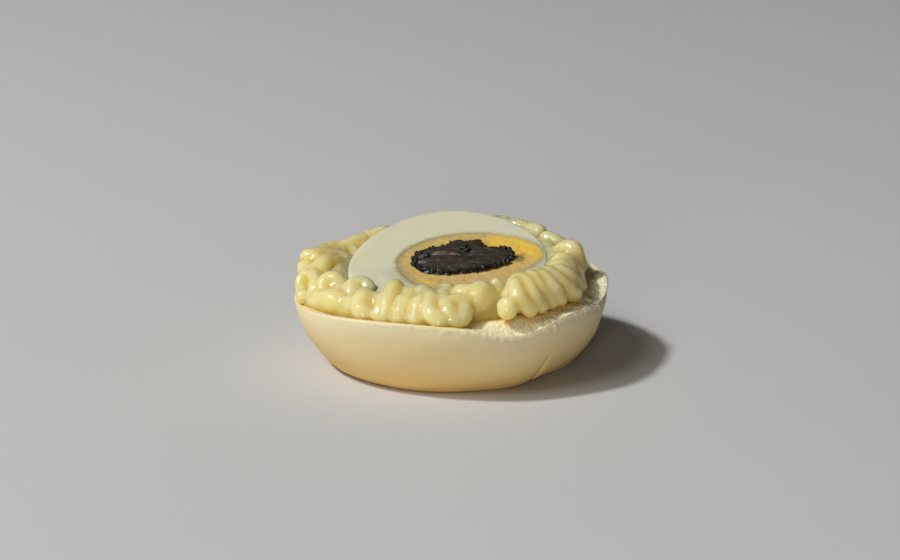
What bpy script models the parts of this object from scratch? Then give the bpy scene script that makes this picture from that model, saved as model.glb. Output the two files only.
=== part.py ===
"""Open egg roll: the lower half of a small bread roll, cut face up, with a piped ring of
mayonnaise, a lengthwise slice of boiled egg and a patch of dark roe on its yolk.

The origin is the middle of the flat underside. +Z is up, +X is right and +Y points to
the back, where the narrow end of the egg slice lies. Lengths are in millimetres, and
become metres when a mesh is made. Azimuths are in degrees, from +X towards +Y.
"""
import math
import random

import bmesh
import bpy
from mathutils import Vector, noise

MM = 0.001
GAP = 0.3                   # kept between pieces that touch
SEED = 41

# Bread roll
ROLL_HALF_WIDTH = 33.4      # at the cut edge
BASE_HALF_WIDTH = 25.0      # of the underside
BASE_FLAT_SHARE = 0.9       # of the underside's radius
ROLL_DEPTH_SHARE = 0.91     # front to back, as a share of the width
CUT_HEIGHT = 15.3           # of the cut face, at the middle
CUT_RISE = 0.055            # of the cut face, for each mm to the right
WALL_ROUNDING = 0.72        # below 1, the wall leaves the underside flatter
WALL_UNEVENNESS = 0.5       # long waves of the wall
CRUST_WRINKLE = 0.09        # relief of the crust, and the size of its dents
WRINKLE_SIZE = 5.0
CRUMB_DEPTH = 0.9           # relief of the torn crumb at the cut edge, and the size of its lumps
CRUMB_SIZE = 2.2
DOWN_LAYER = 5.0            # layers of the noise that tear the crumb down and inward
OUT_LAYER = 12.0
TORN_AZIMUTH = -15.0        # where the edge is torn most
TORN_HALF_ANGLE = 64.0
TORN_LEAST = 0.05           # share of the tear on the far side
TORN_FROM = 0.9             # share of the height where the crust starts to be torn
EDGE_START = 0.86           # shares of the radius between which the cut face meets the edge
EDGE_END = 0.985
# Rises and dips of the edge against the cut face: azimuth, half angle, height
EDGE_WAVES = ((-118.0, 38.0, 2.1), (-66.0, 15.0, -2.4), (-19.0, 15.0, -0.9), (3.0, 9.0, 0.5), (64.0, 42.0, 1.0))
CREASE_AZIMUTH = -51.0      # of the fold in the crust
CREASE_DEPTH = 0.7
CREASE_HALF_ANGLE = 3.2
CREASE_SHARES = (0.10, 0.55)    # shares of the height between which it fades out
LIFT_AZIMUTH = -42.0        # where the underside's edge is bent up a little
LIFT_HALF_ANGLE = 14.0
LIFT = 0.9
LIFT_SHARE = 0.25           # of the wall's height that bends with it
ROLL_SEGMENTS = 80
WALL_SHARES = (0.0, 0.05, 0.13, 0.24, 0.37, 0.5, 0.63, 0.76, 0.87, 0.95)
CRUMB_SHARES = (EDGE_END, 0.95, 0.91, EDGE_START, 0.75, 0.4)

# Egg slice
SLICE_HALF_WIDTH = 21.1
SLICE_BACK_LENGTH = 30.0    # from the middle to the narrow end
SLICE_FRONT_LENGTH = 20.0
SLICE_MIDDLE_X = -0.8
SLICE_NARROWING = 0.115     # of the width, at the narrow end
SLICE_TOP = 20.9            # of the cut face of the egg, at the middle
SLICE_RISE_RIGHT = 0.058
SLICE_RISE_BACK = 0.100     # the back end lies on the piped ring
SLICE_THICKNESS = 4.1
SLICE_THICKENING = 0.03     # for each mm to the back
# Outer side of the slice, from the bottom up: inset from the outline, share of thickness
SLICE_EDGE = ((0.35, 1.0), (0.05, 0.9), (-0.2, 0.6), (-0.05, 0.3), (0.08, 0.1), (0.35, 0.0))
YOLK_RADIUS = 15.6
YOLK_X = 4.05
YOLK_Y = 0.2
YOLK_CHAMFER = 0.5
YOLK_FLATTENING = 2.3       # of its outline, at the right front
YOLK_FLAT_AZIMUTH = -32.0
YOLK_FLAT_HALF_ANGLE = 22.0
SLICE_SEGMENTS = 64

# Roe
ROE_X = 2.5
ROE_Y = 1.6
ROE_HALF_WIDTH = 11.0
ROE_HALF_DEPTH = 8.6
ROE_HEIGHT = 1.4
ROE_LUMP = 0.35
ROE_LUMP_SIZE = 3.0
# Corners and dents of its outline: azimuth, half angle, size
ROE_CORNERS = ((97.0, 7.0, 0.14), (72.0, 5.0, 0.14), (27.0, 9.0, 0.07), (122.0, 8.0, -0.05), (50.0, 9.0, -0.05),
               (140.0, 11.0, 0.075))
ROE_FOOT_SHARE = 0.96
ROE_SHARES = (0.99, 0.93, 0.8, 0.6, 0.3)
ROE_SEGMENTS = 48
BEAD_RADIUS = 0.56
BEAD_SEGMENTS = 6
BEAD_RINGS = 4
EDGE_BEADS = 50
TOP_BEADS = 12

# Piped mayonnaise. A place on it is (azimuth, outward from the ring's middle line, height over the bread)
RING_MIDDLE_X = -1.3
RING_HALF_WIDTH = 25.6      # to the ring's middle line
RING_HALF_DEPTH = 23.2
FOOTING = ((-3.6, -0.4), (1.6, -0.4), (1.4, 0.7), (0.4, 2.0), (-1.2, 3.0), (-3.6, 3.4))
BED_FRONT = -5.0            # the bed under the slice starts here
BED_LOW = -1.0
BED_HIGH = 3.6
STRAND_STEP = 0.8
STRAND_SIDES = 10
STRAND_END_RINGS = 3
STRAND_TIP = 0.004          # least share of the radius, squared, at a strand's tip
STRAND_SWELL = 0.2          # uneven thickness of a strand, and the length of its swellings
SWELL_SIZE = 3.2
FOOT_HEIGHT = 1.8
MAYO_VOXEL = 0.62
MAYO_SOFTENING = 2
MAYO_TRIANGLES = 4900
# Folds lie over the ring and end on the bread outside it: radius, azimuth of the top, sideways bow,
# azimuth of the foot, outward place of the top and of the foot, height of the top
FOLDS = (
    (1.65, 304.5, -3.5, 305.0, -0.6, 5.0, 6.1),
    (1.7, 309.5, -2.0, 310.5, -0.8, 4.9, 6.2),
    (1.8, 315.0, -2.0, 316.5, -1.0, 4.2, 6.2),
    (1.8, 320.0, -1.5, 321.5, -0.6, 4.7, 6.0),
    (2.0, 325.0, 0.5, 331.0, -0.6, 4.7, 5.6),
    (2.0, 331.0, 4.0, 340.0, -0.6, 3.8, 5.4),
    (1.95, 340.0, 3.0, 348.0, -0.9, 2.6, 5.3),
    (1.8, 350.0, 3.0, 356.0, -1.3, 2.2, 5.6),
    (1.4, 12.0, -2.0, 7.0, 1.8, 3.2, 6.0),
    (1.8, 34.0, -9.0, 14.0, 1.0, 3.4, 5.4),
    (1.95, 262.5, 1.5, 268.0, -2.4, 4.6, 4.6),
    (2.0, 257.5, 1.0, 258.0, -4.6, 2.6, 4.8),
    (1.9, 251.0, 1.0, 251.5, -4.4, 2.0, 4.8),
    (1.8, 250.5, 0.5, 250.5, -0.8, 2.6, 4.1),
    (1.95, 240.5, 3.0, 244.0, -5.0, 2.4, 5.4),
    (1.85, 240.0, 1.5, 241.0, -2.2, 2.3, 4.4),
    (2.25, 227.0, 3.0, 233.0, -1.6, 2.1, 4.0),
)
# Curls, lobes and the body under them: radius, then the places along the middle
CURLS = (
    (2.2, (295.7, 3.9, 3.0), (295.5, 4.2, 2.6)),
    (1.95, (308, -1.0, 6.0), (306, -0.8, 6.0)),
    (2.1, (9, -1.0, 4.6), (10, 0.0, 5.7), (6, 1.2, 6.3), (4, 2.1, 5.4), (2, 2.5, 3.0)),
    (1.9, (58, 3.2, 6.2), (54, 3.1, 6.2)),
    (1.9, (48, 2.9, 5.8), (43, 2.6, 5.6)),
    (1.8, (60, 3.6, 5.0), (50, 3.8, 4.6), (40, 3.8, 3.6)),
    (1.4, (67, 3.6, 6.9), (63, 3.6, 6.9)),
    (2.2, (34, -1.2, 4.0), (24, -1.9, 4.2), (14, -2.2, 4.3), (2, -2.2, 4.1), (350, -2.4, 3.7)),
    (3.3, (304, 0.8, 3.5), (320, 1.3, 3.6), (345, 0.1, 3.5), (358, -0.3, 3.3)),
    (2.3, (305, 2.7, 2.5), (322, 3.0, 2.5), (342, 1.9, 2.5)),
    (1.5, (297.5, -3.2, 5.8), (296, -2.2, 4.2), (292, -1.0, 2.2), (287, -0.8, 1.8)),
    (3.0, (288, -1.9, 4.6), (285, -0.9, 4.1)),
    (2.4, (278, -2.8, 4.6), (282, -1.4, 4.7)),
    (1.9, (271, -5.6, 4.8), (268.5, -2.5, 4.5), (270.3, 0.7, 4.0), (271.2, 2.7, 3.4), (272.2, 3.8, 2.3),
     (274.8, 4.2, 1.5), (277.2, 3.7, 2.0), (278.2, 2.2, 3.0)),
    (1.8, (274, 0.6, 4.2), (278, 0.9, 4.1)),
    (1.4, (224, 0.9, 0.9), (240, 1.3, 1.0), (256, 2.0, 1.0), (268, 2.4, 1.0)),
    (2.4, (226, -1.8, 2.7), (245, -1.6, 2.7), (262, -1.2, 2.7), (276, -0.8, 2.6), (284, -1.2, 2.6)),
    (1.65, (222.5, -4.6, 3.4), (218, -5.1, 4.8), (214, -4.2, 5.2), (213, -2.8, 4.8), (216.5, -1.6, 3.8),
     (223, -1.0, 2.4)),
    (1.9, (200.5, 3.4, 2.1), (203, 3.2, 2.3)),
    (2.45, (205.5, 2.7, 2.3), (208, 2.1, 2.6)),
    (2.5, (211, 1.6, 2.5), (214, 1.2, 2.2)),
    (2.0, (216, 1.1, 2.2), (219, 0.6, 2.3), (223, 0.4, 2.3)),
    (1.5, (197, 3.8, 0.6), (205, 3.1, 0.7), (213, 2.0, 0.7), (222, 1.2, 0.7)),
    (1.65, (204, 1.9, 3.4), (200, 1.3, 5.0), (199.5, -0.3, 5.6), (203.5, -1.4, 5.2), (206, -1.8, 3.6)),
    (1.35, (196, 5.3, 2.0), (190.5, 5.3, 3.2), (187.5, 5.0, 4.7), (186, 4.0, 5.6)),
    (1.4, (201, 3.6, 2.4), (198, 3.1, 4.0), (194, 2.4, 5.2), (188, 2.4, 5.7)),
    (2.9, (174, 3.6, 2.4), (170, 3.8, 4.4), (167.5, 3.7, 5.8)),
    (2.1, (182, 3.4, 2.4), (180, 3.0, 4.8)),
    (1.5, (171, 2.4, 6.8), (162, 2.6, 6.9)),
    (2.3, (170, 1.0, 5.2), (160, 1.4, 5.4)),
    (2.2, (196, 1.6, 3.4), (188, 1.8, 3.8)),
    (1.25, (160, -0.2, 6.2), (157, -1.8, 5.4), (163, -3.4, 4.8), (172, -4.2, 4.4), (184, -4.4, 3.8)),
    (1.6, (182, 1.4, 5.8), (177, 0.2, 6.4), (172, -1.6, 6.0), (166, -2.4, 5.4)),
    (2.5, (158, 0.8, 3.8), (176, 0.8, 3.6), (192, 0.4, 3.3), (206, -1.2, 3.1), (218, -2.8, 2.8)),
    (1.7, (164, 1.6, 6.0), (157, 1.0, 5.8), (152, 0.2, 5.0)),
    (1.8, (184, 0.8, 5.2), (179, 0.2, 6.4), (174, -0.4, 6.3)),
    (2.0, (190, -2.4, 3.4), (180, -2.8, 4.0), (172, -3.0, 4.2)),
    (2.2, (178, 3.6, 4.6), (173, 4.2, 5.0)),
    (1.9, (186, -3.0, 2.8), (196, -3.0, 2.8), (208, -3.4, 2.6)),
    (1.7, (157, 3.2, 6.2), (149, 3.4, 5.8), (144, 2.4, 5.5), (139, 1.8, 5.8), (132, 2.0, 6.0)),
    (1.5, (134, 2.6, 5.6), (127, 2.6, 6.2), (118, 2.4, 6.3), (110, 2.0, 6.0)),
)
# Regular coils behind the slice: places along one, as turned from its azimuth, outward, height
BACK_FROM = 40.0
BACK_TO = 156.0
BACK_COILS = 15
BACK_COIL = ((0.0, 2.0, 1.8), (1.0, 4.0, 2.6), (4.0, 3.4, 4.2), (8.0, 0.6, 4.4), (9.0, -1.6, 2.6))
BACK_RADIUS = 1.7


def cut_height(x):
    """Height of the bread's cut face."""
    return CUT_HEIGHT + CUT_RISE * x


def slice_height(x, y):
    """Height of the cut face of the egg."""
    return SLICE_TOP + SLICE_RISE_RIGHT * x + SLICE_RISE_BACK * y


def slice_thickness(y):
    return SLICE_THICKNESS + SLICE_THICKENING * y


def rough(x, y, z, size):
    """Smooth noise from -1 to 1, with lumps of the given size."""
    return noise.noise(Vector((x, y, z)) / size)


def closeness(azimuth, middle, half_angle):
    """1 at the middle azimuth, falling smoothly to 0; angles in degrees."""
    apart = (azimuth - middle + 180.0) % 360.0 - 180.0
    return math.exp(-(apart / half_angle) ** 2)


def ramp(value, low, high):
    """0 below low, 1 above high, smooth between."""
    t = max(0.0, min(1.0, (value - low) / (high - low)))
    return t * t * (3 - 2 * t)


def mesh_object(name, points, faces):
    """An object with its own mesh, from points in millimetres."""
    mesh = bpy.data.meshes.new(name)
    mesh.from_pydata([tuple(c * MM for c in point) for point in points], [], faces)
    mesh.update()
    thing = bpy.data.objects.new(name, mesh)
    bpy.context.scene.collection.objects.link(thing)
    return thing


def paint(thing, colour, roughness):
    """Give the object its own material."""
    material = bpy.data.materials.new(thing.name)
    material.use_nodes = True
    shader = material.node_tree.nodes["Principled BSDF"]
    shader.inputs["Base Color"].default_value = (*colour, 1.0)
    shader.inputs["Roughness"].default_value = roughness
    shader.inputs["Metallic"].default_value = 0.0
    material.diffuse_color = (*colour, 1.0)
    thing.data.materials.clear()
    thing.data.materials.append(material)


def bridge(first, second, count):
    """Quads between two rings of points, given by their first indices."""
    faces = []
    for i in range(count):
        j = (i + 1) % count
        faces.append((first + i, first + j, second + j, second + i))
    return faces


def fan(middle, ring, count, upward):
    """Triangles from a middle point to a ring."""
    faces = []
    for i in range(count):
        j = (i + 1) % count
        faces.append((middle, ring + i, ring + j) if upward else (middle, ring + j, ring + i))
    return faces


def loft(name, rings, bottom=None, top=None):
    """A closed skin over rings that run anticlockwise, from the lowest up."""
    count = len(rings[0])
    points = [point for ring in rings for point in ring]
    faces = []
    for row in range(len(rings) - 1):
        faces += bridge(row * count, (row + 1) * count, count)
    if bottom:
        points.append(bottom)
        faces += fan(len(points) - 1, 0, count, False)
    if top:
        points.append(top)
        faces += fan(len(points) - 1, (len(rings) - 1) * count, count, True)
    return mesh_object(name, points, faces)


def hoop(name, rings):
    """A closed skin over rings, the last joined to the first."""
    count = len(rings[0])
    faces = []
    for row in range(len(rings)):
        faces += bridge(row * count, (row + 1) % len(rings) * count, count)
    return mesh_object(name, [point for ring in rings for point in ring], faces)


def apply_modifiers(thing):
    """Turn the evaluated mesh into the object's own mesh."""
    graph = bpy.context.evaluated_depsgraph_get()
    mesh = bpy.data.meshes.new_from_object(thing.evaluated_get(graph))
    thing.modifiers.clear()
    thing.data = mesh


def drop_scraps(thing):
    """Keep only the largest connected piece of the mesh."""
    mesh = bmesh.new()
    mesh.from_mesh(thing.data)
    unseen = set(mesh.verts)
    pieces = []
    while unseen:
        piece = set()
        open_points = [next(iter(unseen))]
        while open_points:
            point = open_points.pop()
            if point in unseen:
                unseen.discard(point)
                piece.add(point)
                open_points += [edge.other_vert(point) for edge in point.link_edges]
        pieces.append(piece)
    pieces.sort(key=len)
    for piece in pieces[:-1]:
        bmesh.ops.delete(mesh, geom=list(piece), context="VERTS")
    mesh.to_mesh(thing.data)
    mesh.free()


def edge_height(azimuth, x):
    """Height of the roll's cut edge."""
    waves = sum(height * closeness(azimuth, middle, half) for middle, half, height in EDGE_WAVES)
    return cut_height(x) + waves


def tear(azimuth, x, y, layer):
    """Depth of the torn crumb near the edge, from one layer of the noise."""
    torn = TORN_LEAST + (1 - TORN_LEAST) * closeness(azimuth, TORN_AZIMUTH, TORN_HALF_ANGLE)
    return CRUMB_DEPTH * torn * 0.5 * (1 + rough(x, y, layer, CRUMB_SIZE))


def roll_ring(height_share):
    """One ring of the roll's wall; 0 is the underside's edge and 1 the cut edge."""
    ring = []
    flare = math.sin(height_share * math.pi / 2) ** WALL_ROUNDING
    reach = BASE_HALF_WIDTH + (ROLL_HALF_WIDTH - BASE_HALF_WIDTH) * flare
    ragged = ramp(height_share, TORN_FROM, 1.0)
    creased = CREASE_DEPTH * (1 - ramp(height_share, *CREASE_SHARES))
    lifted = LIFT * max(0.0, 1 - height_share / LIFT_SHARE)
    for i in range(ROLL_SEGMENTS):
        azimuth = 360.0 * i / ROLL_SEGMENTS
        across = math.cos(math.radians(azimuth))
        along = math.sin(math.radians(azimuth)) * ROLL_DEPTH_SHARE
        x = reach * across
        y = reach * along
        z = edge_height(azimuth, x) * height_share
        out = CRUST_WRINKLE * rough(x, y, z, WRINKLE_SIZE)
        out += WALL_UNEVENNESS * rough(across, along, height_share, 0.5)
        out -= creased * closeness(azimuth, CREASE_AZIMUTH, CREASE_HALF_ANGLE)
        out -= 0.5 * ragged * tear(azimuth, x, y, OUT_LAYER)
        z += lifted * closeness(azimuth, LIFT_AZIMUTH, LIFT_HALF_ANGLE)
        z -= ragged * tear(azimuth, x, y, DOWN_LAYER)
        ring.append(((reach + out) * across, (reach + out) * along, z))
    return ring


def crumb_ring(share, clearance=0.0):
    """One ring of the cut face, at a share of its radius. Relief goes down only."""
    ring = []
    rise = ramp(share, EDGE_START, EDGE_END)
    for i in range(ROLL_SEGMENTS):
        azimuth = 360.0 * i / ROLL_SEGMENTS
        x = ROLL_HALF_WIDTH * share * math.cos(math.radians(azimuth))
        y = ROLL_HALF_WIDTH * share * math.sin(math.radians(azimuth)) * ROLL_DEPTH_SHARE
        flat = cut_height(x)
        z = flat + (edge_height(azimuth, x) - flat) * rise + clearance * (1 + 0.5 * rise)
        if not clearance:
            z -= tear(azimuth, x, y, DOWN_LAYER) * min(1.0, rise * 2)
        ring.append((x, y, z))
    return ring


def make_roll():
    base = [(x * BASE_FLAT_SHARE, y * BASE_FLAT_SHARE, 0.0) for x, y, z in roll_ring(0.0)]
    rings = [base]
    rings += [roll_ring(share) for share in WALL_SHARES]
    rings += [crumb_ring(share) for share in CRUMB_SHARES]
    roll = loft("bread_roll", rings, (0.0, 0.0, 0.0), (0.0, 0.0, cut_height(0.0)))
    paint(roll, (0.66, 0.50, 0.26), 0.75)


def slice_ring(inset, depth):
    """One ring of the egg slice: inset from its outline, at a share of its thickness."""
    ring = []
    for i in range(SLICE_SEGMENTS):
        turn = math.tau * i / SLICE_SEGMENTS
        back = max(0.0, math.sin(turn))
        length = SLICE_BACK_LENGTH if back > 0 else SLICE_FRONT_LENGTH
        width = SLICE_HALF_WIDTH * (1 - SLICE_NARROWING * back ** 2)
        x = SLICE_MIDDLE_X + (width - inset) * math.cos(turn)
        y = (length - inset) * math.sin(turn)
        ring.append((x, y, slice_height(x, y) - depth * slice_thickness(y)))
    return ring


def yolk_ring(radius, depth):
    """One ring round the yolk, slightly uneven and flattened at the right front."""
    ring = []
    for i in range(SLICE_SEGMENTS):
        turn = math.tau * i / SLICE_SEGMENTS
        flat = YOLK_FLATTENING * closeness(math.degrees(turn), YOLK_FLAT_AZIMUTH, YOLK_FLAT_HALF_ANGLE)
        reach = radius + 0.22 * math.sin(3 * turn + 1.0) + 0.12 * math.sin(5 * turn) - flat
        x = YOLK_X + reach * math.cos(turn)
        y = YOLK_Y + reach * math.sin(turn)
        ring.append((x, y, slice_height(x, y) - depth * slice_thickness(y)))
    return ring


def make_egg_white():
    hole = YOLK_RADIUS + GAP / 2
    rings = [yolk_ring(hole, 0.0), yolk_ring(hole, 1.0)]
    rings += [slice_ring(inset, depth) for inset, depth in SLICE_EDGE]
    paint(hoop("egg_white", rings), (0.80, 0.78, 0.62), 0.35)


def make_egg_yolk():
    reach = YOLK_RADIUS - GAP / 2
    rings = [yolk_ring(reach - YOLK_CHAMFER, 1.0), yolk_ring(reach, 0.9)]
    rings += [yolk_ring(reach, 0.1), yolk_ring(reach - YOLK_CHAMFER, 0.0)]
    over = slice_height(YOLK_X, YOLK_Y)
    under = over - slice_thickness(YOLK_Y)
    yolk = loft("egg_yolk", rings, (YOLK_X, YOLK_Y, under), (YOLK_X, YOLK_Y, over))
    paint(yolk, (0.72, 0.45, 0.10), 0.6)


def slice_cutter():
    """The whole slice, larger all round by the gap."""
    grow = GAP / SLICE_THICKNESS
    profile = ((0.2, 1 + grow), (-0.3, 0.9), (-0.55, 0.6), (-0.3, 0.15), (0.2, -grow))
    rings = [slice_ring(inset, depth) for inset, depth in profile]
    middle_height = slice_height(0, 0)
    under = (0.0, 0.0, middle_height - slice_thickness(0) * (1 + grow))
    return loft("slice_cutter", rings, under, (0.0, 0.0, middle_height + GAP))


def bread_cutter():
    """Everything under the cut face and its edge, with the gap."""
    rings = [crumb_ring(share, GAP) for share in (1.1, *CRUMB_SHARES)]
    low = [(x, y, CUT_HEIGHT - ROLL_HALF_WIDTH) for x, y, z in rings[0]]
    under = (0.0, 0.0, CUT_HEIGHT - ROLL_HALF_WIDTH)
    return loft("bread_cutter", [low] + rings, under, (0.0, 0.0, cut_height(0.0) + GAP))


def ring_frame(azimuth):
    """Point on the ring's middle line and the outward direction there."""
    across = math.cos(math.radians(azimuth))
    along = math.sin(math.radians(azimuth))
    point = Vector((RING_MIDDLE_X + RING_HALF_WIDTH * across, RING_HALF_DEPTH * along, 0.0))
    outward = Vector((across / RING_HALF_WIDTH, along / RING_HALF_DEPTH, 0.0)).normalized()
    return point, outward


def ring_place(azimuth, out, rise):
    """A place on the piped ring as a point."""
    point, outward = ring_frame(azimuth)
    point += outward * out
    point.z = cut_height(point.x) + rise
    return point


def fold_places(top, bow, foot, start, reach, height):
    """Places along a fold, from its top to its foot."""
    across = reach - start
    return (
        (top, start, height),
        (top + bow / 2, start + 0.3 * across, height - 0.1),
        (top + bow, start + 0.8 * across, 0.72 * height),
        (foot, reach, FOOT_HEIGHT),
    )


def smooth_line(stops):
    """Points on a smooth curve through the stops, about a strand step apart."""
    last = len(stops) - 1
    made = []
    for i in range(last):
        a, b, c, d = stops[max(i - 1, 0)], stops[i], stops[i + 1], stops[min(i + 2, last)]
        count = max(2, math.ceil((c - b).length / STRAND_STEP))
        for k in range(count):
            t = k / count
            bend = b * 2 + (c - a) * t + (a * 2 - b * 5 + c * 4 - d) * t ** 2 + (b * 3 - a - c * 3 + d) * t ** 3
            made.append(bend / 2)
    return made + [stops[-1]]


def make_strand(radius, stops):
    """A tube with round ends along the stops."""
    line = smooth_line(stops)
    start = line[0] + (line[0] - line[1]).normalized() * radius
    end = line[-1] + (line[-1] - line[-2]).normalized() * radius
    shares = [k / STRAND_END_RINGS for k in range(1, STRAND_END_RINGS + 1)]
    line = [line[0].lerp(start, share) for share in reversed(shares)] + line
    line += [line[-1].lerp(end, share) for share in shares]
    rings = []
    side = Vector((0.37, 0.21, 0.91))
    last = len(line) - 1
    for i, point in enumerate(line):
        ahead = (line[min(i + 1, last)] - line[max(i - 1, 0)]).normalized()
        side = (side - ahead * side.dot(ahead)).normalized()
        other = ahead.cross(side)
        near_end = max(0.0, 1 - min(i, last - i) / STRAND_END_RINGS)
        swell = radius * math.sqrt(max(STRAND_TIP, 1 - near_end ** 2))
        swell *= 1 + STRAND_SWELL * rough(*point, SWELL_SIZE)
        ring = []
        for k in range(STRAND_SIDES):
            turn = math.tau * k / STRAND_SIDES
            ring.append(point + (side * math.cos(turn) + other * math.sin(turn)) * swell)
        rings.append(ring)
    return loft("strand", rings, tuple(line[0]), tuple(line[-1]))


def back_coils():
    """Strands of the regular coils behind the slice."""
    draw = random.Random(SEED)
    strands = []
    for k in range(BACK_COILS):
        azimuth = BACK_FROM + (BACK_TO - BACK_FROM) * (k + draw.uniform(-0.2, 0.2)) / BACK_COILS
        tall = draw.uniform(0.9, 1.15)
        wide = BACK_RADIUS * draw.uniform(0.9, 1.1)
        places = [(azimuth + turn, out, rise * tall) for turn, out, rise in BACK_COIL]
        strands.append((wide, *places))
    return strands


def ellipse_ring(out, rise, front=-math.inf):
    """Points round the piped ring's middle line, moved out, over the cut face."""
    ring = []
    for i in range(SLICE_SEGMENTS):
        turn = math.tau * i / SLICE_SEGMENTS
        x = RING_MIDDLE_X + (RING_HALF_WIDTH + out) * math.cos(turn)
        y = max(front, (RING_HALF_DEPTH + out) * math.sin(turn))
        ring.append((x, y, cut_height(x) + rise))
    return ring


def make_bed():
    """The bed that carries the back of the slice."""
    low = ellipse_ring(0.0, BED_LOW, BED_FRONT)
    high = ellipse_ring(0.0, BED_HIGH, BED_FRONT)
    middle = cut_height(0.0)
    return loft("bed", [low, high], (0.0, 0.0, middle + BED_LOW), (0.0, 0.0, middle + BED_HIGH))


def make_mayonnaise():
    """The strands, the smear under them and the bed, melted into one body."""
    strands = [(radius, *fold_places(*fold)) for radius, *fold in FOLDS]
    strands += [*CURLS, *back_coils()]
    parts = [make_strand(radius, [ring_place(*place) for place in places]) for radius, *places in strands]
    parts.append(hoop("footing", [ellipse_ring(out, rise) for out, rise in FOOTING]))
    parts.append(make_bed())
    together = bmesh.new()
    for part in parts:
        together.from_mesh(part.data)
        bpy.data.objects.remove(part)
    mesh = bpy.data.meshes.new("mayonnaise")
    together.to_mesh(mesh)
    together.free()
    mayonnaise = bpy.data.objects.new("mayonnaise", mesh)
    bpy.context.scene.collection.objects.link(mayonnaise)
    remesh = mayonnaise.modifiers.new("melt together", "REMESH")
    remesh.mode = "VOXEL"
    remesh.voxel_size = MAYO_VOXEL * MM
    soften = mayonnaise.modifiers.new("soften", "SMOOTH")
    soften.factor = 0.5
    soften.iterations = MAYO_SOFTENING
    apply_modifiers(mayonnaise)
    drop_scraps(mayonnaise)
    thin = mayonnaise.modifiers.new("thin out", "DECIMATE")
    thin.ratio = MAYO_TRIANGLES / (2 * len(mayonnaise.data.polygons))
    apply_modifiers(mayonnaise)
    for cutter in (bread_cutter(), slice_cutter()):
        cut = mayonnaise.modifiers.new("clear", "BOOLEAN")
        cut.object = cutter
        cut.operation = "DIFFERENCE"
        cut.solver = "EXACT"
        apply_modifiers(mayonnaise)
        bpy.data.objects.remove(cutter)
    drop_scraps(mayonnaise)
    paint(mayonnaise, (0.78, 0.66, 0.33), 0.3)


def roe_reach(turn):
    """Uneven outline of the patch, as a share of its half axes."""
    reach = 0.99 - 0.08 * math.sin(turn) - 0.04 * math.cos(turn)
    reach += 0.03 * math.cos(3 * turn) - 0.05 * math.sin(3 * turn)
    reach += 0.02 * math.cos(4 * turn) + 0.03 * math.sin(5 * turn)
    return reach + sum(size * closeness(math.degrees(turn), middle, half) for middle, half, size in ROE_CORNERS)


def roe_point(turn, share, height):
    """A point of the patch, at a share of its reach and a height over the slice."""
    x = ROE_X + ROE_HALF_WIDTH * share * roe_reach(turn) * math.cos(turn)
    y = ROE_Y + ROE_HALF_DEPTH * share * roe_reach(turn) * math.sin(turn)
    return x, y, slice_height(x, y) + GAP + height


def roe_dome(share):
    """Height of the patch at a share of its reach."""
    return ROE_HEIGHT * math.sqrt(max(0.0, 1 - share ** 2.6))


def make_core():
    """The smooth pressed middle of the patch."""
    turns = [math.tau * i / ROE_SEGMENTS for i in range(ROE_SEGMENTS)]
    rings = [[roe_point(turn, ROE_FOOT_SHARE, 0.0) for turn in turns]]
    for share in ROE_SHARES:
        ring = []
        for turn in turns:
            x, y, z = roe_point(turn, share, roe_dome(share))
            ring.append((x, y, z + ROE_LUMP * rough(x, y, z, ROE_LUMP_SIZE) * (1 - share ** 6)))
        rings.append(ring)
    middle = slice_height(ROE_X, ROE_Y) + GAP
    return loft("roe", rings, (ROE_X, ROE_Y, middle), (ROE_X, ROE_Y, middle + ROE_HEIGHT))


def make_roe():
    """The core with the beads that show fused to it."""
    roe = make_core()
    beads = bpy.data.collections.new("beads")
    bpy.context.scene.collection.children.link(beads)
    draw = random.Random(SEED)
    for i in range(EDGE_BEADS + TOP_BEADS):
        radius = BEAD_RADIUS * draw.uniform(0.85, 1.15)
        if i < EDGE_BEADS:
            turn = math.tau * (i + draw.uniform(-0.3, 0.3)) / EDGE_BEADS
            share = draw.uniform(0.97, 1.04)
            height = radius * 1.02 + draw.uniform(0.0, 0.5)
        else:
            turn = draw.uniform(0.0, math.tau)
            share = math.sqrt(draw.uniform(0.05, 0.8))
            height = roe_dome(share) + draw.uniform(-0.1, 0.15)
        x, y, z = roe_point(turn, share, height)
        mesh = bpy.data.meshes.new("bead")
        shape = bmesh.new()
        bmesh.ops.create_uvsphere(shape, u_segments=BEAD_SEGMENTS, v_segments=BEAD_RINGS, radius=radius * MM)
        shape.to_mesh(mesh)
        shape.free()
        bead = bpy.data.objects.new("bead", mesh)
        bead.location = Vector((x, y, z)) * MM
        bead.rotation_euler = (draw.uniform(0, math.pi), draw.uniform(0, math.pi), draw.uniform(0, math.pi))
        beads.objects.link(bead)
    fuse = roe.modifiers.new("fuse beads", "BOOLEAN")
    fuse.operation = "UNION"
    fuse.operand_type = "COLLECTION"
    fuse.collection = beads
    fuse.solver = "EXACT"
    bpy.context.view_layer.update()
    apply_modifiers(roe)
    for bead in list(beads.objects):
        bpy.data.objects.remove(bead)
    bpy.data.collections.remove(beads)
    drop_scraps(roe)
    paint(roe, (0.045, 0.035, 0.03), 0.25)


def main():
    for thing in list(bpy.data.objects):
        bpy.data.objects.remove(thing)
    make_roll()
    make_mayonnaise()
    make_egg_white()
    make_egg_yolk()
    make_roe()


main()
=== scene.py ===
"""Looks of an open bread roll with mayonnaise, a slice of boiled egg and a patch of roe.

The file is laid out as an add-on and runs as a script. Lengths in the shape functions are
millimetres in the part's own frame, and become metres when a mesh is made.
"""
import math
import random

import bmesh
import bpy
import numpy as np
from bpy.props import FloatProperty, FloatVectorProperty, IntProperty, PointerProperty
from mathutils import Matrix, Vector, kdtree, noise


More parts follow.
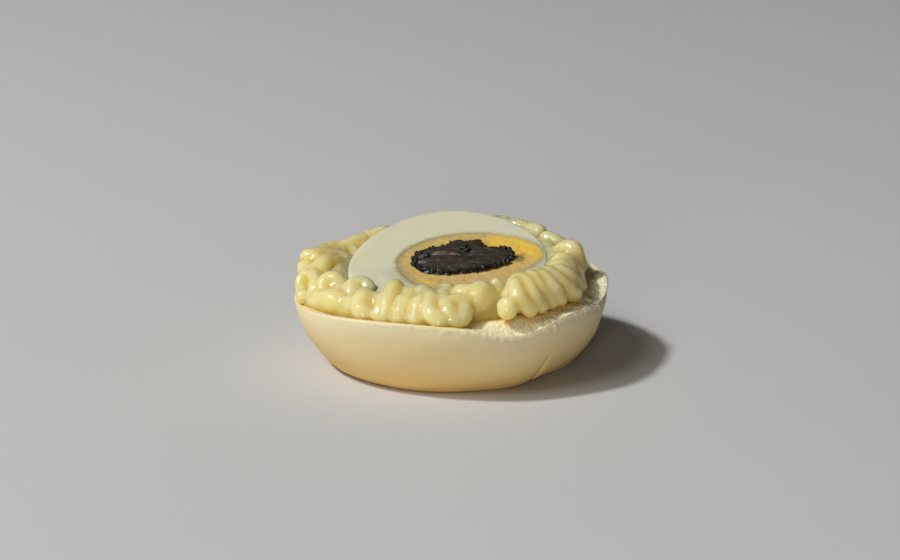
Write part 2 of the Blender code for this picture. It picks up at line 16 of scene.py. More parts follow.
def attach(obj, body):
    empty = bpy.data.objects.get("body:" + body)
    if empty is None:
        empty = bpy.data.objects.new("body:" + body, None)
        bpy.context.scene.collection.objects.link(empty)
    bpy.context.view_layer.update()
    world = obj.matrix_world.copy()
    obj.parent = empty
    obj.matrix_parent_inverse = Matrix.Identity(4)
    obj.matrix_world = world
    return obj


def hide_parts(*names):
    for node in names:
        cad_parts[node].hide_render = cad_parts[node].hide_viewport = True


bl_info = {
    "name": "Open Egg Roll",
    "version": (1, 0, 0),
    "blender": (4, 5, 0),
    "location": "3D Viewport > Sidebar > Egg Roll",
    "description": "Makes the visible surfaces of an open bread roll with egg, mayonnaise and roe",
    "category": "Object",
}

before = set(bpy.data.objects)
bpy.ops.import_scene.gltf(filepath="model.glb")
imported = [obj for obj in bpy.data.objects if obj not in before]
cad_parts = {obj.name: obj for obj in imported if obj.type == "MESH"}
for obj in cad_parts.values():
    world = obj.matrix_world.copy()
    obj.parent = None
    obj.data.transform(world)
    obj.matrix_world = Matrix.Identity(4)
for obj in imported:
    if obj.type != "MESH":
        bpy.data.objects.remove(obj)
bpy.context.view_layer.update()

MM = 0.001
SEED = 41
SHORT_EDGE = 0.2

# Bread roll, as in the solids
ROLL_HALF_WIDTH = 33.4
BASE_HALF_WIDTH = 25.0
ROLL_DEPTH_SHARE = 0.91
CUT_HEIGHT = 15.3
CUT_RISE = 0.055
WALL_ROUNDING = 0.72
TORN_AZIMUTH = -15.0
TORN_HALF_ANGLE = 64.0
EDGE_START = 0.86
# Waves of the cut edge: azimuth, half angle, height
EDGE_WAVES = (
    (-118.0, 38.0, 2.1), (-66.0, 15.0, -2.4), (-19.0, 15.0, -0.9), (3.0, 9.0, 0.5), (64.0, 42.0, 1.0)
)
TUFT_SIZE = 1.1
TUFT_HEIGHT = 0.7
TUFT_RECESS = 0.5
CREASE_AZIMUTH = -51.0
CREASE_HALF_ANGLE = 1.3
LIFT_AZIMUTH = -42.0
LIFT_HALF_ANGLE = 14.0
LIFT = 0.9
# Zones of the wall, as shares of its height: the crease fades out, tufts begin, the edge is ragged
CREASE_FADE = (0.10, 0.55)
TUFT_ZONE = (0.82, 0.95)
RAGGED_ZONE = (0.94, 1.0)
DENT_SIZE = 5.0
BULGE = 0.5
# Rings of the underside: share of the foot's reach, share of its lift
UNDERSIDE = ((0.45, 0.0), (0.9, 0.0), (0.97, 0.7))
# Rings of the wall and its rim, by height, and of the cut face, by reach
WALL_TOP = 0.9
WALL_SPACING = 1.2
RIM_RISE = 0.088
FACE_EDGE = 0.994
FACE_BAND = 0.136
FACE_MIDDLES = [0.82, 0.76, 0.6, 0.3]
ROLL_SEGMENTS = 800
WALL_RINGS = 36
RIM_RINGS = 14
CRUMB_RINGS = 24

# Egg slice, as in the solids
SLICE_HALF_WIDTH = 21.1
SLICE_BACK_LENGTH = 30.0
SLICE_FRONT_LENGTH = 20.0
SLICE_MIDDLE_X = -0.8
SLICE_NARROWING = 0.115
SLICE_TOP = 20.9
SLICE_RISE_RIGHT = 0.058
SLICE_RISE_BACK = 0.100
SLICE_THICKNESS = 4.1
SLICE_THICKENING = 0.03
YOLK_RADIUS = 15.6
YOLK_X = 4.05
YOLK_Y = 0.2
YOLK_FLATTENING = 2.3
YOLK_FLAT_AZIMUTH = -32.0
YOLK_FLAT_HALF_ANGLE = 22.0
# Profiles from the underside to the face: inset or outward place, share of the thickness
WHITE_EDGE = (
    (0.35, 1.0), (0.2, 0.985), (0.08, 0.95), (0.0, 0.9), (-0.12, 0.75), (-0.18, 0.6), (-0.16, 0.45),
    (-0.1, 0.32), (-0.04, 0.2), (0.02, 0.12), (0.08, 0.07), (0.16, 0.035), (0.26, 0.012), (0.38, 0.0)
)
YOLK_EDGE = ((-0.4, 1.0), (0.02, 0.9), (0.02, 0.1), (0.02, 0.01), (-0.04, 0.008))
CUTTER_EDGE = ((0.3, 1.02), (-0.05, 0.9), (-0.25, 0.6), (-0.12, 0.3), (0.05, 0.1), (0.3, -0.01))
SLICE_SEGMENTS = 288
WHITE_RINGS = 18
YOLK_RINGS = 64

# Roe, as in the solids
ROE_X = 2.5
ROE_Y = 1.6
ROE_HALF_WIDTH = 11.0
ROE_HALF_DEPTH = 8.6
# Corners and dents of the outline: azimuth, half angle, size
ROE_CORNERS = (
    (97.0, 7.0, 0.14), (72.0, 5.0, 0.14), (27.0, 9.0, 0.07), (122.0, 8.0, -0.05), (50.0, 9.0, -0.05),
    (140.0, 11.0, 0.075)
)
ROE_SEGMENTS = 300
ROE_RINGS = 64
FLAP_HEIGHT = 0.55
FOLD_HEIGHT = 0.42
CELL_SIZE = 0.9
ROE_SINK = 0.15
# Clusters of whole beads on the patch: x, y, beads, spread
BEAD_CLUSTERS = (
    (2.7, 2.9, 9, 1.1), (12.1, 4.4, 7, 0.9), (11.6, -3.4, 8, 1.0), (-5.2, 0.7, 3, 0.7),
    (-7.6, -1.0, 3, 1.0), (-7.2, 3.6, 3, 0.8), (12.9, 0.6, 3, 0.5)
)
# Rows of larger beads along the outline: azimuth, half angle
BEAD_ROWS = ((-125.0, 16.0), (-24.0, 14.0), (160.0, 14.0), (18.0, 10.0))
BEAD_RINGS = 7
BEAD_SIDES = 12

# Piped mayonnaise. A place on it is (azimuth, outward from the ring's middle line, height over the bread)
RING_MIDDLE_X = -1.3
RING_HALF_WIDTH = 25.6
RING_HALF_DEPTH = 23.2
FOOTING = ((-3.6, -0.4), (1.6, -0.4), (1.4, 0.7), (0.4, 2.0), (-1.2, 3.0), (-3.6, 3.4))
BED_FRONT = -5.0
BED_LEVELS = (-0.4, 1.4)
STRAND_STEP = 0.35
STRAND_SIDES = 20
END_STEPS = 5
FOOT_HEIGHT = 1.8
SOFTEN_ROUNDS = 11
# Unevenness of the skin: height, size of the lumps
SKIN_LUMPS = (0.20, 2.6)
SKIN_RIPPLES = (0.10, 1.2)
HOLLOW_ROUNDS = 4
# How high and how near the mayonnaise the crumb gets its oil soak and painted shade
SOAK_AND_SHADE_HEIGHT = 2.5
SOAK_AND_SHADE_REACH = (0.4, 1.7)
# Folds lie over the ring and end on the bread outside it: radius, azimuth of the top, sideways bow,
# azimuth of the foot, outward place of the top and of the foot, height of the top
FOLDS = (
    (1.65, 304.5, -3.5, 305.0, -0.6, 5.0, 6.1),
    (1.7, 309.5, -2.0, 310.5, -0.8, 4.9, 6.2),
    (1.8, 315.0, -2.0, 316.5, -1.0, 4.2, 6.2),
    (1.8, 320.0, -1.5, 321.5, -0.6, 4.7, 6.0),
    (2.0, 325.0, 0.5, 331.0, -0.6, 4.7, 5.6),
    (2.0, 331.0, 4.0, 340.0, -0.6, 3.8, 5.4),
    (1.95, 340.0, 3.0, 348.0, -0.9, 2.6, 5.3),
    (1.8, 350.0, 3.0, 356.0, -1.3, 2.2, 5.6),
    (1.4, 12.0, -2.0, 7.0, 1.8, 3.2, 6.0),
    (1.8, 34.0, -9.0, 14.0, 1.0, 3.4, 5.4),
    (1.95, 262.5, 1.5, 268.0, -2.4, 4.6, 4.6),
    (2.0, 257.5, 1.0, 258.0, -4.6, 2.6, 4.8),
    (1.9, 251.0, 1.0, 251.5, -4.4, 2.0, 4.8),
    (1.8, 250.5, 0.5, 250.5, -0.8, 2.6, 4.1),
    (1.95, 240.5, 3.0, 244.0, -5.0, 2.4, 5.4),
    (1.85, 240.0, 1.5, 241.0, -2.2, 2.3, 4.4),
    (2.25, 227.0, 3.0, 233.0, -1.6, 2.1, 4.0),
)
# Curls, lobes and the body under them: radius, then the places along the middle
CURLS = (
    (2.2, (295.7, 3.9, 3.0), (295.5, 4.2, 2.6)),
    (1.95, (308, -1.0, 6.0), (306, -0.8, 6.0)),
    (2.1, (9, -1.0, 4.6), (10, 0.0, 5.7), (6, 1.2, 6.3), (4, 2.1, 5.4), (2, 2.5, 3.0)),
    (1.9, (58, 3.2, 6.2), (54, 3.1, 6.2)),
    (1.9, (48, 2.9, 5.8), (43, 2.6, 5.6)),
    (1.8, (60, 3.6, 5.0), (50, 3.8, 4.6), (40, 3.8, 3.6)),
    (1.4, (67, 3.6, 6.9), (63, 3.6, 6.9)),
    (2.2, (34, -1.2, 4.0), (24, -1.9, 4.2), (14, -2.2, 4.3), (2, -2.2, 4.1), (350, -2.4, 3.7)),
    (3.3, (304, 0.8, 3.5), (320, 1.3, 3.6), (345, 0.1, 3.5), (358, -0.3, 3.3)),
    (2.3, (305, 2.7, 2.5), (322, 3.0, 2.5), (342, 1.9, 2.5)),
    (1.5, (297.5, -3.2, 5.8), (296, -2.2, 4.2), (292, -1.0, 2.2), (287, -0.8, 1.8)),
    (3.0, (288, -1.9, 4.6), (285, -0.9, 4.1)),
    (2.4, (278, -2.8, 4.6), (282, -1.4, 4.7)),
    (1.9, (271, -5.6, 4.8), (268.5, -2.5, 4.5), (270.3, 0.7, 4.0), (271.2, 2.7, 3.4), (272.2, 3.8, 2.3),
     (274.8, 4.2, 1.5), (277.2, 3.7, 2.0), (278.2, 2.2, 3.0)),
    (1.8, (274, 0.6, 4.2), (278, 0.9, 4.1)),
    (1.4, (224, 0.9, 0.9), (240, 1.3, 1.0), (256, 2.0, 1.0), (268, 2.4, 1.0)),
    (2.4, (226, -1.8, 2.7), (245, -1.6, 2.7), (262, -1.2, 2.7), (276, -0.8, 2.6), (284, -1.2, 2.6)),
    (1.65, (222.5, -4.6, 3.4), (218, -5.1, 4.8), (214, -4.2, 5.2), (213, -2.8, 4.8), (216.5, -1.6, 3.8),
     (223, -1.0, 2.4)),
    (1.9, (200.5, 3.4, 2.1), (203, 3.2, 2.3)),
    (2.45, (205.5, 2.7, 2.3), (208, 2.1, 2.6)),
    (2.5, (211, 1.6, 2.5), (214, 1.2, 2.2)),
    (2.0, (216, 1.1, 2.2), (219, 0.6, 2.3), (223, 0.4, 2.3)),
    (1.5, (197, 3.8, 0.6), (205, 3.1, 0.7), (213, 2.0, 0.7), (222, 1.2, 0.7)),
    (1.65, (204, 1.9, 3.4), (200, 1.3, 5.0), (199.5, -0.3, 5.6), (203.5, -1.4, 5.2), (206, -1.8, 3.6)),
    (1.35, (196, 5.3, 2.0), (190.5, 5.3, 3.2), (187.5, 5.0, 4.7), (186, 4.0, 5.6)),
    (1.4, (201, 3.6, 2.4), (198, 3.1, 4.0), (194, 2.4, 5.2), (188, 2.4, 5.7)),
    (2.9, (174, 3.6, 2.4), (170, 3.8, 4.4), (167.5, 3.7, 5.8)),
    (2.1, (182, 3.4, 2.4), (180, 3.0, 4.8)),
    (1.5, (171, 2.4, 6.8), (162, 2.6, 6.9)),
    (2.3, (170, 1.0, 5.2), (160, 1.4, 5.4)),
    (2.2, (196, 1.6, 3.4), (188, 1.8, 3.8)),
    (1.25, (160, -0.2, 6.2), (157, -1.8, 5.4), (163, -3.4, 4.8), (172, -4.2, 4.4), (184, -4.4, 3.8)),
    (1.6, (182, 1.4, 5.8), (177, 0.2, 6.4), (172, -1.6, 6.0), (166, -2.4, 5.4)),
    (2.5, (158, 0.8, 3.8), (176, 0.8, 3.6), (192, 0.4, 3.3), (206, -1.2, 3.1), (218, -2.8, 2.8)),
    (1.7, (164, 1.6, 6.0), (157, 1.0, 5.8), (152, 0.2, 5.0)),
    (1.8, (184, 0.8, 5.2), (179, 0.2, 6.4), (174, -0.4, 6.3)),
    (2.0, (190, -2.4, 3.4), (180, -2.8, 4.0), (172, -3.0, 4.2)),
    (2.2, (178, 3.6, 4.6), (173, 4.2, 5.0)),
    (1.9, (186, -3.0, 2.8), (196, -3.0, 2.8), (208, -3.4, 2.6)),
    (1.7, (157, 3.2, 6.2), (149, 3.4, 5.8), (144, 2.4, 5.5), (139, 1.8, 5.8), (132, 2.0, 6.0)),
    (1.5, (134, 2.6, 5.6), (127, 2.6, 6.2), (118, 2.4, 6.3), (110, 2.0, 6.0)),
)
BACK_FROM = 40.0
BACK_TO = 156.0
BACK_COILS = 15
BACK_COIL = ((0.0, 2.0, 1.8), (1.0, 4.0, 2.6), (4.0, 3.4, 4.2), (8.0, 0.6, 4.4), (9.0, -1.6, 2.6))
BACK_RADIUS = 1.7

# Round marks on the yolk and on the roe: middle, inner and outer radius
PEACH_FRONT = ((5.0, -11.5, 20.0), 3.0, 9.0)
VIVID_RIGHT = ((13.8, 6.5, 22.3), 5.0, 11.0)
VIVID_LEFT = ((-6.5, -11.0, 19.4), 1.4, 3.8)
ROE_STAIN = ((14.2, 0.2, 22.0), 0.6, 3.2)
ROE_FOLD = ((-1.0, 1.6, 21.8), 1.6, 3.6)

# Second colours of the materials
BREAD_SPECKS = (0.25, 0.15, 0.05)
CRUMB_PATCHES = (0.97, 0.84, 0.50)
WHITE_PATCHES = (0.78, 0.77, 0.62)
YOLK_PATCHES = (0.60, 0.42, 0.15)
PEACH_PATCHES = (0.66, 0.44, 0.17)
YOLK_RAYS = (0.90, 0.60, 0.14)
YOLK_STAIN = (0.10, 0.08, 0.05)
YOLK_SPECKS = (0.20, 0.14, 0.06)
YOLK_LINE = (0.42, 0.38, 0.17)
FOLD_BROWN = (0.060, 0.032, 0.018)

# Stage; azimuth 0 is to the right and 90 to the back
FLOOR_HALF_WIDTH = 1.6
CAMERA_AZIMUTH = 270.0
CAMERA_ELEVATION = 17.5
CAMERA_DISTANCE = 0.5
SENSOR_WIDTH = 36.0
CLIP_START = 0.01
CAMERA_TARGET = (-0.0003, 0.0, 0.0169)
VIEW_WIDTH = 0.191
# Lamps: azimuth, elevation, distance, size, tint
LAMPS = {
    "key": (191.0, 51.0, 1.9, 0.21, (1.0, 1.0, 0.985)),
    "wide": (214.0, 50.0, 1.9, 0.9, (1.0, 0.985, 0.95)),
    "fill": (256.0, 7.0, 1.2, 0.35, (1.0, 0.93, 0.80)),
}
SURROUNDINGS = (1.0, 0.91, 0.79, 1.0)


def length(name, description, default):
    """A length property; the default is in millimetres."""
    return FloatProperty(name=name, description=description, default=default * MM, min=0.0, unit="LENGTH")


def colour(name, description, default):
    return FloatVectorProperty(
        name=name, description=description, default=default, size=3, min=0.0, max=1.0, subtype="COLOR"
    )


def share(name, description, default):
    return FloatProperty(
        name=name, description=description, default=default, min=0.0, max=1.0, subtype="FACTOR"
    )


def power(name, description, default):
    return FloatProperty(name=name, description=description, default=default, min=0.0, unit="POWER")


class EggRollBread(bpy.types.PropertyGroup):
    """Crust and crumb."""

    wrinkle: length("Crust Relief", "Height of the crust's soft dents", 0.09)
    tear: length("Tear Depth", "Depth of the torn crumb at the cut edge", 1.05)
    crease: length("Crease Depth", "Depth of the fold in the crust", 1.3)
    edge: colour("Edge", "Palest crust, at the cut edge", (0.81, 0.73, 0.49))
    pale: colour("Upper Crust", "Crust below the cut edge", (0.78, 0.67, 0.41))
    middle: colour("Middle Crust", "Crust half way up", (0.80, 0.625, 0.31))
    golden: colour("Lower Crust", "Crust near the underside", (0.78, 0.51, 0.17))
    crumb: colour("Crumb", "Torn inside of the roll", (0.99, 0.90, 0.60))
    # Partly oil soak and partly painted shade: darker yellow crumb in the crevice beside the mayonnaise
    oily: colour("Oily Crumb", "Crumb soaked beside the mayonnaise", (0.90, 0.70, 0.24))
    roughness: share("Roughness", "Roughness of the crust", 0.62)


class EggRollMayonnaise(bpy.types.PropertyGroup):
    """Piped rope."""

    grain: length("Mesh Grain", "Size of the mesh's squares", 0.32)
    tone: colour("Colour", "Body of the mayonnaise", (0.765, 0.665, 0.355))
    # Painted shade: deeper yellow laid in the hollows between the coils
    hollow_shade: colour("Deep Colour", "Hollows between the coils", (0.78, 0.57, 0.09))
    # Painted shade at the mayonnaise's foot against the bread, partly oil
    oily: colour("Oily Colour", "Edge against the bread", (0.76, 0.49, 0.06))
    roughness: share("Roughness", "Roughness of the surface", 0.14)


class EggRollEgg(bpy.types.PropertyGroup):
    """Slice of boiled egg."""

    white: colour("White", "Body of the white", (0.79, 0.77, 0.54))
    thin: colour("Thin White", "Greyish white beside the yolk", (0.66, 0.62, 0.46))
    yolk: colour("Yolk", "Vivid side of the yolk", (0.94, 0.61, 0.075))
    pale_yolk: colour("Pale Yolk", "Dull side of the yolk", (0.72, 0.54, 0.17))
    peach: colour("Peach Yolk", "Front of the yolk", (0.74, 0.52, 0.20))
    rim: colour("Yolk Edge", "Brownish blur between yolk and white", (0.48, 0.38, 0.19))
    relief: length("Yolk Relief", "Height of the yolk's crumbs", 0.12)


class EggRollRoe(bpy.types.PropertyGroup):
    """Patch of roe."""

    bead_radius: length("Bead Radius", "Half thickness of one bead", 0.38)
    edge_beads: IntProperty(name="Edge Beads", description="Beads along the outline", default=150, min=3)
    height: length("Height", "Height of the patch over the slice", 1.6)
    body: colour("Pressed Roe", "Middle of the patch", (0.028, 0.021, 0.015))
    bead: colour("Bead", "Whole beads", (0.006, 0.004, 0.003))


class EggRollStage(bpy.types.PropertyGroup):
    """Floor and light."""

    floor: colour("Floor", "Floor and backdrop", (0.605, 0.605, 0.61))
    key_power: power("Key Light", "Power of the key", 23.4)
    wide_power: power("Wide Light", "Power of the wide soft lamp", 9.0)
    fill_power: power("Fill Light", "Power of the fill", 4.3)
    ambient: FloatProperty(name="Ambient", description="Strength of the surroundings", default=0.050)


class EggRollSettings(bpy.types.PropertyGroup):
    """All settings of the roll."""

    bread: PointerProperty(type=EggRollBread, name="Bread", description="Crust and crumb")
    mayonnaise: PointerProperty(type=EggRollMayonnaise, name="Mayonnaise", description="Piped rope")
    egg: PointerProperty(type=EggRollEgg, name="Egg", description="Slice of boiled egg")
    roe: PointerProperty(type=EggRollRoe, name="Roe", description="Patch of roe")
    stage: PointerProperty(type=EggRollStage, name="Stage", description="Floor and light")


# Shape helpers


def rough(x, y, z, size):
    """Smooth noise from -1 to 1, with lumps of the given size."""
    return noise.noise(Vector((x, y, z)) / size)


def grain(x, y, z, size):
    """Noise with finer noise on it."""
    return noise.fractal(Vector((x, y, z)) / size, 0.7, 2.1, 3)


def closeness(azimuth, middle, half_angle):
    """1 at the middle azimuth, falling smoothly to 0; angles in degrees."""
    apart = (azimuth - middle + 180.0) % 360.0 - 180.0
    return math.exp(-((apart / half_angle) ** 2))


def ramp(value, low, high):
    """0 below low, 1 above high, smooth between."""
    t = max(0.0, min(1.0, (value - low) / (high - low)))
    return t * t * (3 - 2 * t)


def around(count):
    """The angles of one turn, in equal steps."""
    return [math.tau * i / count for i in range(count)]


def heading(degrees):
    """Cosine and sine of an angle in degrees."""
    return math.cos(math.radians(degrees)), math.sin(math.radians(degrees))


def cut_height(x):
    return CUT_HEIGHT + CUT_RISE * x


def slice_height(x, y):
    return SLICE_TOP + SLICE_RISE_RIGHT * x + SLICE_RISE_BACK * y


def slice_thickness(y):
    return SLICE_THICKNESS + SLICE_THICKENING * y


def add_object(name, data):
    """A new object in the scene."""
    thing = bpy.data.objects.new(name, data)
    bpy.context.scene.collection.objects.link(thing)
    return thing


def mesh_object(name, points, faces):
    """An object with its own smooth mesh, from points in millimetres."""
    mesh = bpy.data.meshes.new(name)
    mesh.from_pydata([tuple(c * MM for c in point) for point in points], [], faces)
    mesh.update()
    mesh.shade_smooth()
    return add_object(name, mesh)


def bridge(first, second, count):
    """Quads between two rings of points, given by their first indices."""
    return [(first + i, first + (i + 1) % count, second + (i + 1) % count, second + i) for i in range(count)]


def skin(rings, bottom, top):
    """Points and faces over rings that run anticlockwise, from the lowest up; the bottom may be None."""
    count = len(rings[0])
    points = [point for ring in rings for point in ring]
    faces = []
    for row in range(len(rings) - 1):
        faces += bridge(row * count, (row + 1) * count, count)
    if bottom:
        points.append(bottom)
        faces += [(len(points) - 1, (i + 1) % count, i) for i in range(count)]
    points.append(top)
    last = (len(rings) - 1) * count
    faces += [(len(points) - 1, last + i, last + (i + 1) % count) for i in range(count)]
    return points, faces


def loft(name, rings, bottom, top):
    """An object with a skin over the rings."""
    return mesh_object(name, *skin(rings, bottom, top))


def hoop(name, rings):
    """An object with a skin over rings, the last joined to the first."""
    count = len(rings[0])
    faces = []
    for row in range(len(rings)):
        faces += bridge(row * count, (row + 1) % len(rings) * count, count)
    return mesh_object(name, [point for ring in rings for point in ring], faces)


def apply_modifiers(thing):
    """Turn the evaluated mesh into the object's own mesh."""
    graph = bpy.context.evaluated_depsgraph_get()
    mesh = bpy.data.meshes.new_from_object(thing.evaluated_get(graph))
    thing.modifiers.clear()
    thing.data = mesh


def store(thing, name, values):
    """Keep one number for each point, for a material to read."""
    attribute = thing.data.attributes.new(name, "FLOAT", "POINT")
    attribute.data.foreach_set("value", values)


def hollows(mesh, rounds):
    """How hollow the surface is at each point, per millimetre, averaged over its surroundings."""
    count = len(mesh.vertices)
    places = np.empty(count * 3)
    normals = np.empty(count * 3)
    ends = np.empty(len(mesh.edges) * 2, dtype=np.int64)
    mesh.vertices.foreach_get("co", places)
    mesh.vertex_normals.foreach_get("vector", normals)
    mesh.edges.foreach_get("vertices", ends)
    places = places.reshape(count, 3) / MM
    normals = normals.reshape(count, 3)
    first, second = ends.reshape(-1, 2).T
    links = np.bincount(first, minlength=count) + np.bincount(second, minlength=count)
    apart = places[second] - places[first]
    square = np.maximum((apart ** 2).sum(axis=1), SHORT_EDGE ** 2)
    rise = (apart * normals[first]).sum(axis=1) / square
    fall = -(apart * normals[second]).sum(axis=1) / square
    bent = (np.bincount(first, rise, count) + np.bincount(second, fall, count)) / links
    for _ in range(rounds):
        near = np.bincount(first, bent[second], count) + np.bincount(second, bent[first], count)
        bent = (bent + near / links) / 2
    return bent


def settle(piece, node, material):
    """Give a piece its material and its place in the frame."""
    piece.data.materials.clear()
    piece.data.materials.append(material)
    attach(piece, "root")
    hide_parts(node)


# Material helpers


def rgba(colour):
    """A socket as it is, or a colour with its alpha."""
    return colour if isinstance(colour, bpy.types.NodeSocket) else (*colour, 1.0)


class Nodes:
    """Short calls to add and link shader nodes in one tree."""

    def __init__(self, tree):
        self.tree = tree

    def feed(self, node, values):
        """Link sockets to a node's inputs, and set the other values on them."""
        for key, value in values.items():
            if isinstance(value, bpy.types.NodeSocket):
                self.tree.links.new(value, node.inputs[key])
            else:
                node.inputs[key].default_value = value
        return node

    def add(self, kind, values, **settings):
        made = self.tree.nodes.new(kind)
        for name, value in settings.items():
            setattr(made, name, value)
        return self.feed(made, values)

    def place(self):
        """Where a point lies in the part's frame."""
        return self.add("ShaderNodeTexCoord", {}).outputs["Object"]

    def stored(self, name):
        """Numbers that were kept for each point of the mesh."""
        return self.add("ShaderNodeAttribute", {}, attribute_name=name).outputs["Fac"]

    def clouds(self, place, scale, detail, roughness=0.5):
        """Soft noise from 0 to 1."""
        values = {"Vector": place, "Scale": scale, "Detail": detail, "Roughness": roughness}
        return self.add("ShaderNodeTexNoise", values).outputs["Fac"]

    def maths(self, operation, *values):
        return self.add("ShaderNodeMath", dict(enumerate(values)), operation=operation).outputs[0]

    def times(self, value, factor, more=0.0):
        """A product, with more added to it."""
        return self.maths("MULTIPLY_ADD", value, factor, more)

    def vectors(self, operation, *values):
        return self.add("ShaderNodeVectorMath", dict(enumerate(values)), operation=operation).outputs

    def blend(self, amount, first, second):
        """Mix two colours; first and second are sockets or colours."""
        values = {0: amount, 6: rgba(first), 7: rgba(second)}
        return self.add("ShaderNodeMix", values, data_type="RGBA").outputs[2]

    def stretch(self, value, low, high, to_low=0.0, to_high=1.0):
        """Map a value from one range to another, smooth and clamped."""
        values = {0: value, 1: low, 2: high, 3: to_low, 4: to_high}
        return self.add("ShaderNodeMapRange", values, interpolation_type="SMOOTHSTEP").outputs[0]

    def group(self, name, values):
        """Place a shared effect in a material, with this material's own values."""
        tree = bpy.data.node_groups.get(name) or GROUPS[name]()
        return self.add("ShaderNodeGroup", values, node_tree=tree).outputs[0]

    def mottle(self, first, second, patches, amount, balance=0.5):
        colours = {"First": rgba(first), "Second": rgba(second)}
        numbers = {"Patches per Metre": patches, "Amount": amount, "Balance": balance}
        return self.group("Mottle", {**colours, **numbers})

    def fleck(self, tone, colour, amount, specks, size, share):
        """Lay small specks of a colour on a tone."""
        mask = self.group("Flecks", {"Specks per Metre": specks, "Size": size, "Share": share})
        return self.blend(self.times(mask, amount), tone, colour)

    def relief(self, coarse, fine, fine_share=0.4):
        values = {"Coarse per Metre": coarse, "Fine per Metre": fine, "Fine Share": fine_share}
        return self.group("Relief", values)

    def wobble(self, value, lumps, spread):
        return self.group("Wobble", {"Value": value, "Lumps per Metre": lumps, "Spread": spread})

    def spot(self, place, middle, inner, outer):
        """A round mask about a point; lengths in millimetres."""
        middle = tuple(c * MM for c in middle)
        values = {"Place": place, "Middle": middle, "Inner": inner * MM, "Outer": outer * MM}
        return self.group("Spot", values)


def new_group(name, inputs, output, output_kind="NodeSocketFloat"):
    """An empty shader node group; each input has a default: a number, a vector or a colour."""
    kinds = {1: "NodeSocketFloat", 3: "NodeSocketVector", 4: "NodeSocketColor"}
    tree = bpy.data.node_groups.new(name, "ShaderNodeTree")
    for title, default in inputs.items():
        kind = kinds[np.size(default)]
        tree.interface.new_socket(title, in_out="INPUT", socket_type=kind).default_value = default
    tree.interface.new_socket(output, in_out="OUTPUT", socket_type=output_kind)
    nodes = Nodes(tree)
    return nodes, nodes.add("NodeGroupInput", {}).outputs, nodes.add("NodeGroupOutput", {})


def mottle_group():
    """Soft patches of a second colour over a first."""
    colours = {"First": (1, 1, 1, 1), "Second": (0, 0, 0, 1)}
    numbers = {"Patches per Metre": 100.0, "Amount": 1.0, "Balance": 0.5}
    nodes, given, out = new_group("Mottle", {**colours, **numbers}, "Color", "NodeSocketColor")
    low = nodes.maths("SUBTRACT", given["Balance"], 0.16)
    high = nodes.maths("ADD", given["Balance"], 0.16)
    mask = nodes.stretch(nodes.clouds(nodes.place(), given["Patches per Metre"], 4.0, 0.6), low, high)
    mask = nodes.times(mask, given["Amount"])
    nodes.feed(out, {"Color": nodes.blend(mask, given["First"], given["Second"])})
    return nodes.tree


def fleck_group():
    """A mask of small scattered specks."""
    inputs = {"Specks per Metre": 300.0, "Size": 0.12, "Share": 0.1}
    nodes, given, out = new_group("Flecks", inputs, "Mask")
    values = {"Vector": nodes.place(), "Scale": given["Specks per Metre"]}
    cells = nodes.add("ShaderNodeTexVoronoi", values).outputs
    speck = nodes.stretch(cells["Distance"], nodes.times(given["Size"], 0.5), given["Size"], 1.0, 0.0)
    chance = nodes.add("ShaderNodeSeparateColor", {"Color": cells["Color"]}).outputs[0]
    kept = nodes.maths("LESS_THAN", chance, given["Share"])
    nodes.feed(out, {"Mask": nodes.times(speck, kept)})
    return nodes.tree


def relief_group():
    """Height of a coarse and a fine grain together."""
    inputs = {"Coarse per Metre": 500.0, "Fine per Metre": 2500.0, "Fine Share": 0.4}
    nodes, given, out = new_group("Relief", inputs, "Height")
    place = nodes.place()
    fine = nodes.times(nodes.clouds(place, given["Fine per Metre"], 2.0), given["Fine Share"])
    coarse = nodes.clouds(place, given["Coarse per Metre"], 3.0)
    nodes.feed(out, {"Height": nodes.maths("ADD", coarse, fine)})
    return nodes.tree


def wobble_group():
    """A value made uneven by soft noise."""
    inputs = {"Value": 0.0, "Lumps per Metre": 700.0, "Spread": 1.0}
    nodes, given, out = new_group("Wobble", inputs, "Value")
    clouds = nodes.clouds(nodes.place(), given["Lumps per Metre"], 3.0)
    change = nodes.times(clouds, given["Spread"], nodes.times(given["Spread"], -0.5))
    nodes.feed(out, {"Value": nodes.maths("ADD", given["Value"], change)})
    return nodes.tree


def spot_group():
    """A round mask about a point, 1 inside and 0 outside; lengths in metres."""
    inputs = {"Place": (0, 0, 0), "Middle": (0, 0, 0), "Inner": 0.001, "Outer": 0.002}
    nodes, given, out = new_group("Spot", inputs, "Mask")
    away = nodes.vectors("DISTANCE", given["Place"], given["Middle"])["Value"]
    nodes.feed(out, {"Mask": nodes.stretch(away, given["Inner"], given["Outer"], 1.0, 0.0)})
    return nodes.tree


GROUPS = {
    "Mottle": mottle_group,
    "Flecks": fleck_group,
    "Relief": relief_group,
    "Wobble": wobble_group,
    "Spot": spot_group,
}


def new_material(name):
    """A material, its nodes and its Principled shader."""
    material = bpy.data.materials.new(name)
    material.use_nodes = True
    return material, Nodes(material.node_tree), material.node_tree.nodes["Principled BSDF"]


def glow(weight, radius, scale):
    """Inputs for light that scatters inside a piece."""
    return {"Subsurface Weight": weight, "Subsurface Radius": radius, "Subsurface Scale": scale}


def finish(nodes, shader, height, distance, values):
    """Set the shader's inputs and lay fine relief on it; the distance is in millimetres."""
    bump = nodes.add("ShaderNodeBump", {"Height": height, "Distance": distance * MM, "Strength": 1.0})
    nodes.feed(shader, {"Normal": bump.outputs[0], **values})


# Bread roll


def edge_height(azimuth, x):
    """Height of the roll's cut edge."""
    waves = sum(height * closeness(azimuth, middle, half) for middle, half, height in EDGE_WAVES)
    return cut_height(x) + waves


def torn_share(azimuth):
    """How torn the cut edge is, almost 0 away from the torn side."""
    return 0.05 + 0.95 * closeness(azimuth, TORN_AZIMUTH, TORN_HALF_ANGLE)


